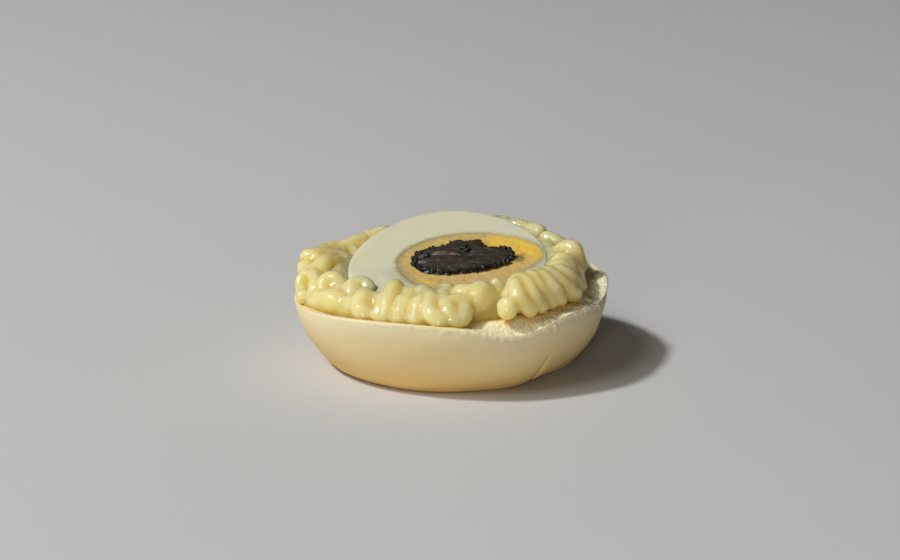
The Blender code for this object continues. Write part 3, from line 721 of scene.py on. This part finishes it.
def tear(azimuth, x, y, layer, bread):
    """Depth of the torn crumb near the edge, from one layer of the noise."""
    lumps = 0.5 * (1 + rough(x, y, layer, 2.4))
    fluff = abs(grain(x, y, layer, 0.8))
    return bread.tear / MM * torn_share(azimuth) * (0.5 * lumps + 0.8 * fluff)


def wall_point(azimuth, height_share, bread):
    """A point of the crust; 0 is the underside's edge and 1 the cut edge."""
    across, along = heading(azimuth)
    along *= ROLL_DEPTH_SHARE
    flare = math.sin(height_share * math.pi / 2) ** WALL_ROUNDING
    reach = BASE_HALF_WIDTH + (ROLL_HALF_WIDTH - BASE_HALF_WIDTH) * flare
    x = reach * across
    y = reach * along
    z = edge_height(azimuth, x) * height_share
    out = bread.wrinkle / MM * rough(x, y, z, DENT_SIZE) + BULGE * rough(across, along, height_share, 0.5)
    low = 1.0 - ramp(height_share, *CREASE_FADE)
    out -= bread.crease / MM * low * closeness(azimuth, CREASE_AZIMUTH, CREASE_HALF_ANGLE)
    ragged = ramp(height_share, *RAGGED_ZONE)
    out -= 0.4 * ragged * tear(azimuth, x, y, 12.0, bread)
    clinging = ramp(height_share, *TUFT_ZONE) * torn_share(azimuth)
    out += clinging * (TUFT_HEIGHT * max(0.0, rough(x, y, z, TUFT_SIZE) - 0.05) - TUFT_RECESS)
    z += LIFT * max(0.0, 1 - height_share * 4) * closeness(azimuth, LIFT_AZIMUTH, LIFT_HALF_ANGLE)
    z -= ragged * tear(azimuth, x, y, 5.0, bread)
    return (reach + out) * across, (reach + out) * along, max(0.0, z)


def crumb_point(azimuth, radius_share, bread):
    """A point of the cut face."""
    across, along = heading(azimuth)
    x = ROLL_HALF_WIDTH * radius_share * across
    y = ROLL_HALF_WIDTH * radius_share * along * ROLL_DEPTH_SHARE
    rise = ramp(radius_share, EDGE_START, 0.985)
    z = cut_height(x) + (edge_height(azimuth, x) - cut_height(x)) * rise
    z -= tear(azimuth, x, y, 5.0, bread) * min(1.0, rise * 2 + 0.3)
    return x, y, z


def make_bread(bread):
    """The crust and the cut face, as one skin."""
    azimuths = [360.0 * i / ROLL_SEGMENTS for i in range(ROLL_SEGMENTS)]
    wall = [WALL_TOP * (k / WALL_RINGS) ** WALL_SPACING for k in range(WALL_RINGS + 1)]
    wall += [WALL_TOP + RIM_RISE * (k + 1) / RIM_RINGS for k in range(RIM_RINGS)]
    inners = [FACE_EDGE - FACE_BAND * k / CRUMB_RINGS for k in range(CRUMB_RINGS + 1)] + FACE_MIDDLES
    base = [wall_point(azimuth, 0.0, bread) for azimuth in azimuths]
    rings = [[(x * inner, y * inner, z * lift) for x, y, z in base] for inner, lift in UNDERSIDE]
    rings += [[wall_point(azimuth, height, bread) for azimuth in azimuths] for height in wall]
    rings += [[crumb_point(azimuth, inner, bread) for azimuth in azimuths] for inner in inners]
    roll = loft("roll_crust_and_crumb", rings, (0.0, 0.0, 0.0), (0.0, 0.0, cut_height(0.0)))
    heights = [0.0 for _ in UNDERSIDE] + wall + [1.0 for _ in inners]
    torn = [torn_share(azimuth) ** 0.5 for azimuth in azimuths]
    crumb = [ramp(height, 0.87, 0.975) for height in heights]
    store(roll, "up", [height for height in heights for _ in azimuths] + [0.0, 1.0])
    store(roll, "crumb", [open_share * there for open_share in crumb for there in torn] + [0.0, 1.0])
    return roll


def bread_material(bread):
    """Crust from golden to pale, frayed crumb at the torn edge, soaked and darkened with painted shade
    beside the mayonnaise.
    """
    material, nodes, shader = new_material("pale soft crust")
    up = nodes.stored("up")
    wobbled = nodes.wobble(up, 70.0, 0.24)
    tone = nodes.blend(nodes.stretch(wobbled, 0.0, 0.50), bread.golden, bread.middle)
    tone = nodes.blend(nodes.stretch(wobbled, 0.40, 0.86), tone, bread.pale)
    tone = nodes.blend(nodes.stretch(wobbled, 0.74, 0.95), tone, bread.edge)
    tone = nodes.mottle(tone, bread.middle, 240.0, 0.22, 0.55)
    tone = nodes.mottle(tone, bread.middle, 1200.0, 0.16)
    tone = nodes.fleck(tone, BREAD_SPECKS, 0.40, 300.0, 0.07, 0.16)
    fray = nodes.times(nodes.clouds(nodes.place(), 900.0, 3.0), 1.6, 0.2)
    crumb = nodes.stretch(nodes.times(nodes.stored("crumb"), fray), 0.15, 0.80)
    tone = nodes.blend(crumb, tone, nodes.mottle(bread.crumb, CRUMB_PATCHES, 1500.0, 0.6))
    # Painted shade, partly oil soak: the cut face turns darker yellow beside the mayonnaise
    face = nodes.stretch(up, 0.975, 0.995, 0.0, 0.8)
    tone = nodes.blend(nodes.times(nodes.stored("oily"), face), tone, bread.oily)
    height = nodes.times(nodes.relief(1500.0, 4200.0), nodes.times(crumb, 0.65, 0.35))
    scale = nodes.stretch(crumb, 0.0, 1.0, 1.2 * MM, 2.2 * MM)
    finish(nodes, shader, height, 0.20, {
        "Base Color": tone,
        "Roughness": nodes.stretch(crumb, 0.0, 1.0, bread.roughness, 0.95),
        "Specular IOR Level": 0.3,
        **glow(nodes.stretch(crumb, 0.0, 1.0, 0.15, 0.6), (1.0, 0.85, 0.6), scale),
        "Sheen Weight": nodes.times(crumb, 0.5),
        "Sheen Roughness": 0.45,
        "Sheen Tint": (1.0, 0.90, 0.66, 1.0),
    })
    return material


# Mayonnaise


def ring_place(azimuth, out, rise):
    """A place on the piped ring as a point."""
    across, along = heading(azimuth)
    outward = Vector((across / RING_HALF_WIDTH, along / RING_HALF_DEPTH, 0.0)).normalized()
    point = Vector((RING_MIDDLE_X + RING_HALF_WIDTH * across, RING_HALF_DEPTH * along, 0.0)) + outward * out
    point.z = cut_height(point.x) + rise
    return point


def fold_places(top, bow, foot, start, reach, height):
    """Places along a fold, from its top to its foot."""
    across = reach - start
    return (
        (top, start, height),
        (top + bow / 2, start + 0.3 * across, height - 0.1),
        (top + bow, start + 0.8 * across, 0.72 * height),
        (foot, reach, FOOT_HEIGHT),
    )


def smooth_line(stops):
    """Points on a smooth curve through the stops, a strand step apart."""
    last = len(stops) - 1
    made = []
    for i in range(last):
        a, b, c, d = stops[max(i - 1, 0)], stops[i], stops[i + 1], stops[min(i + 2, last)]
        count = max(2, math.ceil((c - b).length / STRAND_STEP))
        for k in range(count):
            t = k / count
            bend = b * 2 + (c - a) * t + (a * 2 - b * 5 + c * 4 - d) * t ** 2
            made.append((bend + (b * 3 - a - c * 3 + d) * t ** 3) / 2)
    return made + [stops[-1]]


def make_strand(radius, stops):
    """A tube with round ends along the stops."""
    line = smooth_line(stops)
    start = line[0] + (line[0] - line[1]).normalized() * radius
    end = line[-1] + (line[-1] - line[-2]).normalized() * radius
    steps = range(1, END_STEPS + 1)
    line = [line[0] + (start - line[0]) * k / END_STEPS for k in reversed(steps)] + line
    line += [line[-1] + (end - line[-1]) * k / END_STEPS for k in steps]
    rings = []
    side = Vector((0.37, 0.21, 0.91))
    last = len(line) - 1
    for i, point in enumerate(line):
        ahead = (line[min(i + 1, last)] - line[max(i - 1, 0)]).normalized()
        side = (side - ahead * side.dot(ahead)).normalized()
        other = ahead.cross(side)
        near_end = max(0.0, 1 - min(i, last - i) / END_STEPS)
        swell = radius * math.sqrt(max(0.004, 1 - near_end ** 2)) * (1 + 0.2 * rough(*point, 3.2))
        rings.append([point + (side * math.cos(turn) + other * math.sin(turn)) * swell
                      for turn in around(STRAND_SIDES)])
    return loft("strand", rings, tuple(line[0]), tuple(line[-1]))


def back_coils():
    """Strands of the regular coils behind the slice."""
    draw = random.Random(SEED)
    strands = []
    for k in range(BACK_COILS):
        azimuth = BACK_FROM + (BACK_TO - BACK_FROM) * (k + draw.uniform(-0.2, 0.2)) / BACK_COILS
        tall = draw.uniform(0.9, 1.15)
        radius = BACK_RADIUS * draw.uniform(0.9, 1.1)
        strands.append((radius, *[(azimuth + turn, out, rise * tall) for turn, out, rise in BACK_COIL]))
    return strands


def ellipse_ring(out, rise, front=-math.inf):
    """Points round the piped ring's middle line, moved out, over the cut face."""
    ring = []
    for turn in around(SLICE_SEGMENTS):
        x = RING_MIDDLE_X + (RING_HALF_WIDTH + out) * math.cos(turn)
        y = max(front, (RING_HALF_DEPTH + out) * math.sin(turn))
        ring.append((x, y, cut_height(x) + rise))
    return ring


def make_bed():
    """The bed that carries the back of the slice."""
    rings = [ellipse_ring(0.0, level, BED_FRONT) for level in BED_LEVELS]
    low, high = [(0.0, 0.0, cut_height(0.0) + level) for level in BED_LEVELS]
    return loft("bed", rings, low, high)


def make_slice_cutter():
    """A little more than the slice, to trim the mayonnaise that it presses on."""
    top = slice_height(0.0, 0.0)
    low = (0.0, 0.0, top - 1.02 * slice_thickness(0.0))
    return loft("slice cutter", slice_rings(slice_point, CUTTER_EDGE), low, (0.0, 0.0, top + 0.04))


def join(name, parts):
    """One object with the meshes of all the parts, which are removed."""
    together = bmesh.new()
    for part in parts:
        together.from_mesh(part.data)
        bpy.data.objects.remove(part)
    mesh = bpy.data.meshes.new(name)
    together.to_mesh(mesh)
    together.free()
    return add_object(name, mesh)


def melt(piped, grain_size):
    """Make one soft skin of joined strands."""
    remesh = piped.modifiers.new("melt together", "REMESH")
    remesh.mode = "VOXEL"
    remesh.voxel_size = grain_size
    soften = piped.modifiers.new("soften", "SMOOTH")
    soften.factor = 0.5
    soften.iterations = SOFTEN_ROUNDS
    apply_modifiers(piped)
    outward = [normal.vector.copy() for normal in piped.data.vertex_normals]
    for point, normal in zip(piped.data.vertices, outward):
        x, y, z = point.co / MM
        uneven = sum(height * rough(x, y, z, size) for height, size in (SKIN_LUMPS, SKIN_RIPPLES))
        point.co += normal * uneven * MM


def make_mayonnaise(mayo):
    """The strands, the smear under them and the bed, melted into one body."""
    strands = [(radius, *fold_places(*fold)) for radius, *fold in FOLDS]
    strands += [*CURLS, *back_coils()]
    parts = [make_strand(radius, [ring_place(*place) for place in places]) for radius, *places in strands]
    parts.append(hoop("footing", [ellipse_ring(out, rise) for out, rise in FOOTING]))
    parts.append(make_bed())
    piped = join("piped_mayonnaise", parts)
    melt(piped, mayo.grain * (1))
    cutter = make_slice_cutter()
    trim = piped.modifiers.new("trim", "BOOLEAN")
    trim.operation = "DIFFERENCE"
    trim.solver = "MANIFOLD"
    trim.object = cutter
    apply_modifiers(piped)
    bpy.data.objects.remove(cutter)
    piped.data.shade_smooth()
    store(piped, "hollow", hollows(piped.data, HOLLOW_ROUNDS))
    store(piped, "rise", [over_bread(point) for point in piped.data.vertices])
    return piped


def over_bread(point):
    """Height of a mesh's point over the cut face, in millimetres."""
    return point.co.z / MM - cut_height(point.co.x / MM)


def soak_and_shade_crumb(roll, piped):
    """Mark the bread beside the mayonnaise, where oil has soaked in and where shade is painted in the
    crevice.
    """
    low = [point.co for point in piped.data.vertices if over_bread(point) < SOAK_AND_SHADE_HEIGHT]
    tree = kdtree.KDTree(len(low))
    for i, place in enumerate(low):
        tree.insert(place, i)
    tree.balance()
    apart = [tree.find(point.co)[2] / MM for point in roll.data.vertices]
    store(roll, "oily", [1 - ramp(away, *SOAK_AND_SHADE_REACH) for away in apart])


def mayonnaise_material(mayo):
    """Glossy and translucent, with painted shade as deeper yellow in the hollows and, partly oil, against
    the bread.
    """
    material, nodes, shader = new_material("glossy mayonnaise")
    tone = nodes.mottle(mayo.tone, mayo.hollow_shade, 130.0, 0.25)
    # Painted shade: the creases between the coils turn to the deeper yellow
    tone = nodes.blend(nodes.stretch(nodes.stored("hollow"), -0.05, 0.55), tone, mayo.hollow_shade)
    # Painted shade, partly oil: the lowest two millimetres over the bread turn deeper orange
    tone = nodes.blend(nodes.stretch(nodes.stored("rise"), 0.2, 2.2, 0.9, 0.0), tone, mayo.oily)
    finish(nodes, shader, nodes.relief(420.0, 2600.0), 0.05, {
        "Base Color": tone,
        "Roughness": mayo.roughness,
        "IOR": 1.45,
        **glow(1.0, (1.0, 0.8, 0.35), 9.0 * MM),
    })
    return material


# Egg slice


def slice_point(turn, inset, depth):
    """A point of the slice: inset from its outline, at a share of its thickness."""
    back = max(0.0, math.sin(turn))
    long_half = SLICE_BACK_LENGTH if back > 0 else SLICE_FRONT_LENGTH
    width = SLICE_HALF_WIDTH * (1 - SLICE_NARROWING * back ** 2)
    x = SLICE_MIDDLE_X + (width - inset) * math.cos(turn)
    y = (long_half - inset) * math.sin(turn)
    return x, y, slice_height(x, y) - depth * slice_thickness(y)


def yolk_reach(turn, radius):
    """The yolk's slightly uneven outline, flattened at the right front."""
    flat = YOLK_FLATTENING * closeness(math.degrees(turn), YOLK_FLAT_AZIMUTH, YOLK_FLAT_HALF_ANGLE)
    reach = YOLK_RADIUS + 0.22 * math.sin(3 * turn + 1.0) + 0.12 * math.sin(5 * turn) - flat
    return reach * radius / YOLK_RADIUS


def yolk_point(turn, radius, depth):
    """A point round the yolk."""
    reach = yolk_reach(turn, radius)
    x = YOLK_X + reach * math.cos(turn)
    y = YOLK_Y + reach * math.sin(turn)
    return x, y, slice_height(x, y) - depth * slice_thickness(y)


def slice_rings(point, steps):
    """A ring of points for each step, a place across and a share of the slice's thickness."""
    return [[point(turn, *step) for turn in around(SLICE_SEGMENTS)] for step in steps]


def store_from_yolk(thing):
    """Keep how far each point of a piece lies outside the yolk's outline, in millimetres."""
    away = []
    for point in thing.data.vertices:
        x = point.co.x / MM - YOLK_X
        y = point.co.y / MM - YOLK_Y
        away.append(math.hypot(x, y) - yolk_reach(math.atan2(y, x), YOLK_RADIUS))
    store(thing, "from_yolk", away)


def make_egg_white():
    """The white as a ring with a rounded edge and a softly wavy face."""
    rings = slice_rings(yolk_point, [(YOLK_RADIUS, depth) for depth in (0.0, 0.5, 1.0)])
    rings += slice_rings(slice_point, WHITE_EDGE)
    outer = rings[-1]
    for k in range(1, WHITE_RINGS + 1):
        part = min(0.994, k / WHITE_RINGS)
        ring = []
        for start, end in zip(outer, rings[0]):
            x = start[0] + (end[0] - start[0]) * part
            y = start[1] + (end[1] - start[1]) * part
            dip = 0.07 * rough(x, y, 3.0, 6.0) + 0.02 * rough(x, y, 8.0, 1.5)
            ring.append((x, y, slice_height(x, y) + dip * math.sin(math.pi * part)))
        rings.append(ring)
    white = hoop("sliced_egg_white", rings)
    store_from_yolk(white)
    return white


def make_yolk(egg):
    """The yolk, with its crumbly cut face."""
    rings = slice_rings(yolk_point, [(YOLK_RADIUS + out, depth) for out, depth in YOLK_EDGE])
    inners = [YOLK_RADIUS * (1 - k / YOLK_RINGS) for k in range(1, YOLK_RINGS)]
    for k, flat_ring in enumerate(slice_rings(yolk_point, [(inner, 0.0) for inner in inners]), 1):
        depth = egg.relief / MM * ramp(k, 0, 6)
        ring = []
        for x, y, z in flat_ring:
            crumbs = grain(x, y, 1.0, 1.3) + 0.4 * rough(x, y, 9.0, 4.0)
            ring.append((x, y, z + crumbs * depth - 0.03))
        rings.append(ring)
    top = slice_height(YOLK_X, YOLK_Y)
    low = (YOLK_X, YOLK_Y, top - slice_thickness(YOLK_Y))
    yolk = loft("sliced_egg_yolk", rings, low, (YOLK_X, YOLK_Y, top))
    store_from_yolk(yolk)
    return yolk


def white_material(egg):
    """Satin white, thin and greyish in front of the yolk, brownish against it."""
    material, nodes, shader = new_material("boiled egg white")
    x, y, _ = nodes.add("ShaderNodeSeparateXYZ", {"Vector": nodes.place()}).outputs
    away = nodes.wobble(nodes.stored("from_yolk"), 700.0, 1.6)
    tone = nodes.mottle(egg.white, WHITE_PATCHES, 70.0, 0.5)
    front = nodes.stretch(y, 1.0 * MM, -5.0 * MM)
    tone = nodes.blend(nodes.times(front, nodes.stretch(away, 1.5, 5.5, 1.0, 0.0)), tone, egg.thin)
    left = nodes.stretch(x, 6.0 * MM, -6.0 * MM, 0.25, 0.8)
    tone = nodes.blend(nodes.times(left, nodes.stretch(away, 0.0, 1.5, 1.0, 0.0)), tone, egg.rim)
    tone = nodes.blend(nodes.stretch(away, 0.0, 0.7, 0.4, 0.0), tone, YOLK_LINE)
    finish(nodes, shader, nodes.relief(160.0, 1500.0, 0.1), 0.10, {
        "Base Color": tone,
        "Roughness": 0.34,
        **glow(0.6, (1.0, 0.9, 0.65), 3.0 * MM),
    })
    return material


def streaks(nodes, place):
    """Rays from the yolk's middle, as noise from 0 to 1."""
    centred = nodes.vectors("SUBTRACT", place, (YOLK_X * MM, YOLK_Y * MM, 0.0))[0]
    turn = nodes.add("ShaderNodeTexGradient", {"Vector": centred}, gradient_type="RADIAL").outputs["Fac"]
    values = {"W": nodes.times(turn, 60.0), "Scale": 1.0}
    return nodes.add("ShaderNodeTexNoise", values, noise_dimensions="1D").outputs["Fac"]


def yolk_material(egg):
    """Dull crumbly yolk with vivid sides, a peach front, a stain by the roe and a brownish edge."""
    material, nodes, shader = new_material("boiled egg yolk")
    place = nodes.place()
    warp = nodes.add("ShaderNodeTexNoise", {"Vector": place, "Scale": 260.0, "Detail": 5.0}).outputs["Color"]
    warp = nodes.vectors("SUBTRACT", warp, (0.5, 0.5, 0.5))[0]
    warp = nodes.vectors("MULTIPLY", warp, (3.4 * MM, 3.4 * MM, 3.4 * MM))[0]
    warped = nodes.vectors("ADD", place, warp)[0]
    tone = nodes.mottle(egg.pale_yolk, YOLK_PATCHES, 620.0, 0.8)
    peach = nodes.mottle(egg.peach, PEACH_PATCHES, 600.0, 0.7)
    tone = nodes.blend(nodes.spot(warped, *PEACH_FRONT), tone, peach)
    small = nodes.times(nodes.spot(warped, *VIVID_LEFT), 0.85)
    vivid = nodes.maths("MAXIMUM", nodes.spot(warped, *VIVID_RIGHT), small)
    bright = nodes.blend(nodes.stretch(streaks(nodes, place), 0.40, 0.62), egg.yolk, YOLK_RAYS)
    tone = nodes.blend(vivid, tone, bright)
    away = nodes.wobble(nodes.stored("from_yolk"), 700.0, 1.6)
    x = nodes.add("ShaderNodeSeparateXYZ", {"Vector": place}).outputs["X"]
    left = nodes.stretch(x, 8.0 * MM, -6.0 * MM, 0.3, 0.85)
    tone = nodes.blend(nodes.times(left, nodes.stretch(away, -1.9, -0.1)), tone, egg.rim)
    tone = nodes.blend(nodes.stretch(away, -0.9, -0.1, 0.0, 0.35), tone, YOLK_LINE)
    stain = nodes.times(nodes.spot(warped, *ROE_STAIN), 0.75)
    tone = nodes.blend(stain, tone, YOLK_STAIN)
    tone = nodes.fleck(tone, YOLK_SPECKS, 0.6, 420.0, 0.12, 0.06)
    finish(nodes, shader, nodes.relief(900.0, 3000.0), 0.14, {
        "Base Color": tone,
        "Roughness": 0.5,
        **glow(0.3, (1.0, 0.6, 0.2), 1.2 * MM),
    })
    return material


# Roe


def roe_reach(turn):
    """Uneven outline of the patch, as a share of its half axes."""
    reach = 0.99 - 0.08 * math.sin(turn) - 0.04 * math.cos(turn)
    reach += 0.03 * math.cos(3 * turn) - 0.05 * math.sin(3 * turn)
    reach += 0.02 * math.cos(4 * turn) + 0.03 * math.sin(5 * turn)
    azimuth = math.degrees(turn)
    return reach + sum(size * closeness(azimuth, middle, half) for middle, half, size in ROE_CORNERS)


def roe_point(turn, part, height):
    """A point of the patch, at a share of its reach and a height over the slice."""
    teeth = 0.03 * rough(math.cos(turn) * 9, math.sin(turn) * 9, 0.0, 1.0)
    teeth += 0.025 * rough(math.cos(turn) * 22, math.sin(turn) * 22, 4.0, 1.0)
    reach = roe_reach(turn) * (1 + teeth)
    x = ROE_X + ROE_HALF_WIDTH * part * reach * math.cos(turn)
    y = ROE_Y + ROE_HALF_DEPTH * part * reach * math.sin(turn)
    return x, y, slice_height(x, y) + height


def roe_dome(part, height):
    """Height of the patch over the slice, at a share of its reach."""
    return height * math.sqrt(max(0.0, 1 - min(1.0, part) ** 3.2))


def roe_flap(x, y):
    """Height of the thin flap folded over the middle of the patch."""
    along = ramp(x, -5.0, -2.5) * (1 - ramp(x, 1.0, 3.0))
    across = y - 0.6 + 0.22 * x
    return FLAP_HEIGHT * along * ramp(across, -0.35, 0.1) * (1 - ramp(across, 0.2, 2.6))


def make_pressed_roe(roe):
    """The pressed middle of the patch, with its folds and flattened beads."""
    height = roe.height / MM
    parts = [0.97 * (1 - (k / ROE_RINGS) ** 1.3) for k in range(ROE_RINGS)]
    rings = []
    for part in parts:
        dome = roe_dome(part, height)
        ring = []
        for turn in around(ROE_SEGMENTS):
            x, y, z = roe_point(turn, part, dome - ROE_SINK)
            fold = FOLD_HEIGHT * grain(x * 0.45 + y * 0.2, y * 1.5, 3.0, 3.0)
            cells = noise.voronoi(Vector((x, y, 2.0)) / CELL_SIZE)[0]
            lumps = (0.08 + 0.16 * ramp(part, 0.75, 0.95)) * (0.5 - cells[0])
            ring.append((x, y, z + (fold + lumps + roe_flap(x, y)) * min(1.0, dome)))
        rings.append(ring)
    pressed = loft("pressed_roe", rings, None, roe_point(0.0, 0.0, height - ROE_SINK))
    store(pressed, "part", [part for part in parts for _ in range(ROE_SEGMENTS)] + [0.0])
    return pressed


def bead_skin(x, y, z, radius, flatness):
    """Points and faces of one slightly flattened bead."""
    rings = []
    for row in range(1, BEAD_RINGS):
        lift = math.pi * row / BEAD_RINGS
        wide = radius * math.sin(lift)
        level = z - radius * flatness * math.cos(lift)
        directions = [(math.cos(turn), math.sin(turn)) for turn in around(BEAD_SIDES)]
        rings.append([(x + wide * across, y + wide * along, level) for across, along in directions])
    return skin(rings, (x, y, z - radius * flatness), (x, y, z + radius * flatness))


def beads_on_edge(roe, draw):
    """Skins of the whole beads along the outline."""
    radius = roe.bead_radius / MM
    for i in range(roe.edge_beads):
        turn = math.tau * (i + draw.uniform(-0.4, 0.4)) / roe.edge_beads
        bold = max(closeness(math.degrees(turn), middle, half) for middle, half in BEAD_ROWS)
        size = radius * draw.uniform(0.5, 0.9) * (1 + 0.6 * bold)
        part = draw.uniform(0.86, 0.985)
        if draw.random() <= 0.55 + 0.4 * bold:
            height = max(size * 0.5, roe_dome(part, roe.height / MM) - 0.3 * size)
            yield bead_skin(*roe_point(turn, part, height), size, draw.uniform(0.8, 1.0))


def beads_in_clusters(roe, draw):
    """Skins of the whole beads that lie together on the patch."""
    radius = roe.bead_radius / MM
    for middle_x, middle_y, count, spread in BEAD_CLUSTERS:
        for _ in range(count):
            x = middle_x + draw.gauss(0.0, spread * 0.6)
            y = middle_y + draw.gauss(0.0, spread * 0.6)
            across = (x - ROE_X) / ROE_HALF_WIDTH
            along = (y - ROE_Y) / ROE_HALF_DEPTH
            out = math.hypot(along, across) / roe_reach(math.atan2(along, across))
            size = radius * draw.uniform(1.0, 1.45)
            if out <= 0.98:
                height = max(size * 0.8, roe_dome(out, roe.height / MM) + size * 0.3)
                yield bead_skin(x, y, slice_height(x, y) + height, size, draw.uniform(0.8, 1.0))


def make_beads(roe):
    """The whole beads along the outline and in clusters."""
    draw = random.Random(SEED)
    points = []
    faces = []
    for bead_points, bead_faces in [*beads_on_edge(roe, draw), *beads_in_clusters(roe, draw)]:
        faces += [tuple(len(points) + i for i in face) for face in bead_faces]
        points += bead_points
    return mesh_object("roe_beads", points, faces)


def pressed_material(roe):
    """The matt film of pressed roe, darker and glossier at its edge."""
    material, nodes, shader = new_material("pressed roe")
    tone = nodes.mottle(roe.body, [c * 1.9 for c in roe.body], 320.0, 0.8)
    fold = nodes.times(nodes.spot(nodes.place(), *ROE_FOLD), 0.7)
    tone = nodes.blend(fold, tone, FOLD_BROWN)
    part = nodes.stored("part")
    finish(nodes, shader, nodes.relief(1100.0, 3500.0), 0.12, {
        "Base Color": nodes.blend(nodes.stretch(part, 0.80, 0.95), tone, roe.bead),
        "Roughness": nodes.stretch(part, 0.80, 0.95, 0.5, 0.25),
        "Coat Weight": 0.12,
        "Coat Roughness": 0.15,
    })
    return material


def bead_material(roe):
    """Near black satin skin under a wet coat."""
    material, nodes, shader = new_material("whole roe")
    finish(nodes, shader, nodes.relief(1100.0, 3500.0), 0.04, {
        "Base Color": nodes.mottle(roe.bead, [c * 1.6 for c in roe.bead], 350.0, 0.8),
        "Roughness": 0.42,
        "Coat Weight": 0.12,
        "Coat Roughness": 0.08,
    })
    return material


# Stage


def make_floor(stage):
    """A wide plain floor."""
    half = FLOOR_HALF_WIDTH / MM
    corners = [(-half, -half, 0), (half, -half, 0), (half, half, 0), (-half, half, 0)]
    floor = mesh_object("floor", corners, [(0, 1, 2, 3)])
    material, nodes, shader = new_material("pale floor")
    tone = nodes.mottle(stage.floor, [c * 0.985 for c in stage.floor], 14.0, 0.6)
    nodes.feed(shader, {"Base Color": tone, "Roughness": 0.85, "Specular IOR Level": 0.15})
    floor.data.materials.append(material)


def look_from(thing, azimuth, elevation, distance):
    """Let a lamp or the camera look at the roll."""
    flat, up = heading(elevation)
    across, along = heading(azimuth)
    away = Vector((flat * across, flat * along, up))
    thing.location = Vector(CAMERA_TARGET) + away * distance
    thing.rotation_euler = (-away).to_track_quat("-Z", "Y").to_euler()


def add_lights(stage):
    """Round lamps about the roll, and the light of the surroundings."""
    for name, (azimuth, elevation, distance, size, tint) in LAMPS.items():
        lamp = bpy.data.lights.new(name, "AREA")
        lamp.shape = "DISK"
        lamp.size = size
        lamp.energy = getattr(stage, name + "_power")
        lamp.color = tint
        look_from(add_object(name, lamp), azimuth, elevation, distance)
    world = bpy.data.worlds.new("surroundings")
    world.use_nodes = True
    background = world.node_tree.nodes["Background"]
    background.inputs["Color"].default_value = SURROUNDINGS
    background.inputs["Strength"].default_value = stage.ambient
    bpy.context.scene.world = world


def make_camera():
    lens = bpy.data.cameras.new("camera")
    lens.sensor_width = SENSOR_WIDTH
    lens.lens = SENSOR_WIDTH * CAMERA_DISTANCE / VIEW_WIDTH
    lens.clip_start = CLIP_START
    camera = add_object("camera", lens)
    look_from(camera, CAMERA_AZIMUTH, CAMERA_ELEVATION, CAMERA_DISTANCE)
    bpy.context.scene.camera = camera


# Operators


class EGGROLL_OT_stage(bpy.types.Operator):
    """Make the floor, the lights and the camera"""

    bl_idname = "egg_roll.stage"
    bl_label = "Stage"

    def execute(self, context):
        stage = context.scene.egg_roll.stage
        make_camera()
        make_floor(stage)
        add_lights(stage)
        context.scene.view_settings.view_transform = "Standard"
        return {"FINISHED"}


class EGGROLL_OT_bread(bpy.types.Operator):
    """Make the crust and the crumb"""

    bl_idname = "egg_roll.bread"
    bl_label = "Bread"

    def execute(self, context):
        bread = context.scene.egg_roll.bread
        settle(make_bread(bread), "bread_roll", bread_material(bread))
        return {"FINISHED"}


class EGGROLL_OT_mayonnaise(bpy.types.Operator):
    """Make the piped mayonnaise"""

    bl_idname = "egg_roll.mayonnaise"
    bl_label = "Mayonnaise"

    def execute(self, context):
        mayo = context.scene.egg_roll.mayonnaise
        piped = make_mayonnaise(mayo)
        soak_and_shade_crumb(bpy.data.objects["roll_crust_and_crumb"], piped)
        settle(piped, "mayonnaise", mayonnaise_material(mayo))
        return {"FINISHED"}


class EGGROLL_OT_egg(bpy.types.Operator):
    """Make the slice of egg"""

    bl_idname = "egg_roll.egg"
    bl_label = "Egg"

    def execute(self, context):
        egg = context.scene.egg_roll.egg
        settle(make_egg_white(), "egg_white", white_material(egg))
        settle(make_yolk(egg), "egg_yolk", yolk_material(egg))
        return {"FINISHED"}


class EGGROLL_OT_roe(bpy.types.Operator):
    """Make the patch of roe"""

    bl_idname = "egg_roll.roe"
    bl_label = "Roe"

    def execute(self, context):
        roe = context.scene.egg_roll.roe
        settle(make_pressed_roe(roe), "roe", pressed_material(roe))
        settle(make_beads(roe), "roe", bead_material(roe))
        return {"FINISHED"}


class EGGROLL_PT_panel(bpy.types.Panel):
    """Buttons and settings of the roll"""

    bl_idname = "EGGROLL_PT_panel"
    bl_label = "Egg Roll"
    bl_space_type = "VIEW_3D"
    bl_region_type = "UI"
    bl_category = "Egg Roll"

    def draw(self, context):
        settings = context.scene.egg_roll
        for part in PARTS:
            box = self.layout.box()
            box.operator("egg_roll." + part)
            group = getattr(settings, part)
            for name in group.bl_rna.properties.keys():
                if name not in ("rna_type", "name"):
                    box.prop(group, name)


PARTS = ("stage", "bread", "mayonnaise", "egg", "roe")
CLASSES = (
    EggRollBread,
    EggRollMayonnaise,
    EggRollEgg,
    EggRollRoe,
    EggRollStage,
    EggRollSettings,
    EGGROLL_OT_stage,
    EGGROLL_OT_bread,
    EGGROLL_OT_mayonnaise,
    EGGROLL_OT_egg,
    EGGROLL_OT_roe,
    EGGROLL_PT_panel,
)


def register():
    for cls in CLASSES:
        bpy.utils.register_class(cls)
    bpy.types.Scene.egg_roll = PointerProperty(type=EggRollSettings)


def unregister():
    del bpy.types.Scene.egg_roll
    for cls in reversed(CLASSES):
        bpy.utils.unregister_class(cls)


def main():
    register()
    bpy.ops.egg_roll.stage()
    bpy.ops.egg_roll.bread()
    bpy.ops.egg_roll.mayonnaise()
    bpy.ops.egg_roll.egg()
    bpy.ops.egg_roll.roe()
    bpy.context.view_layer.update()


if __name__ == "__main__":
    main()
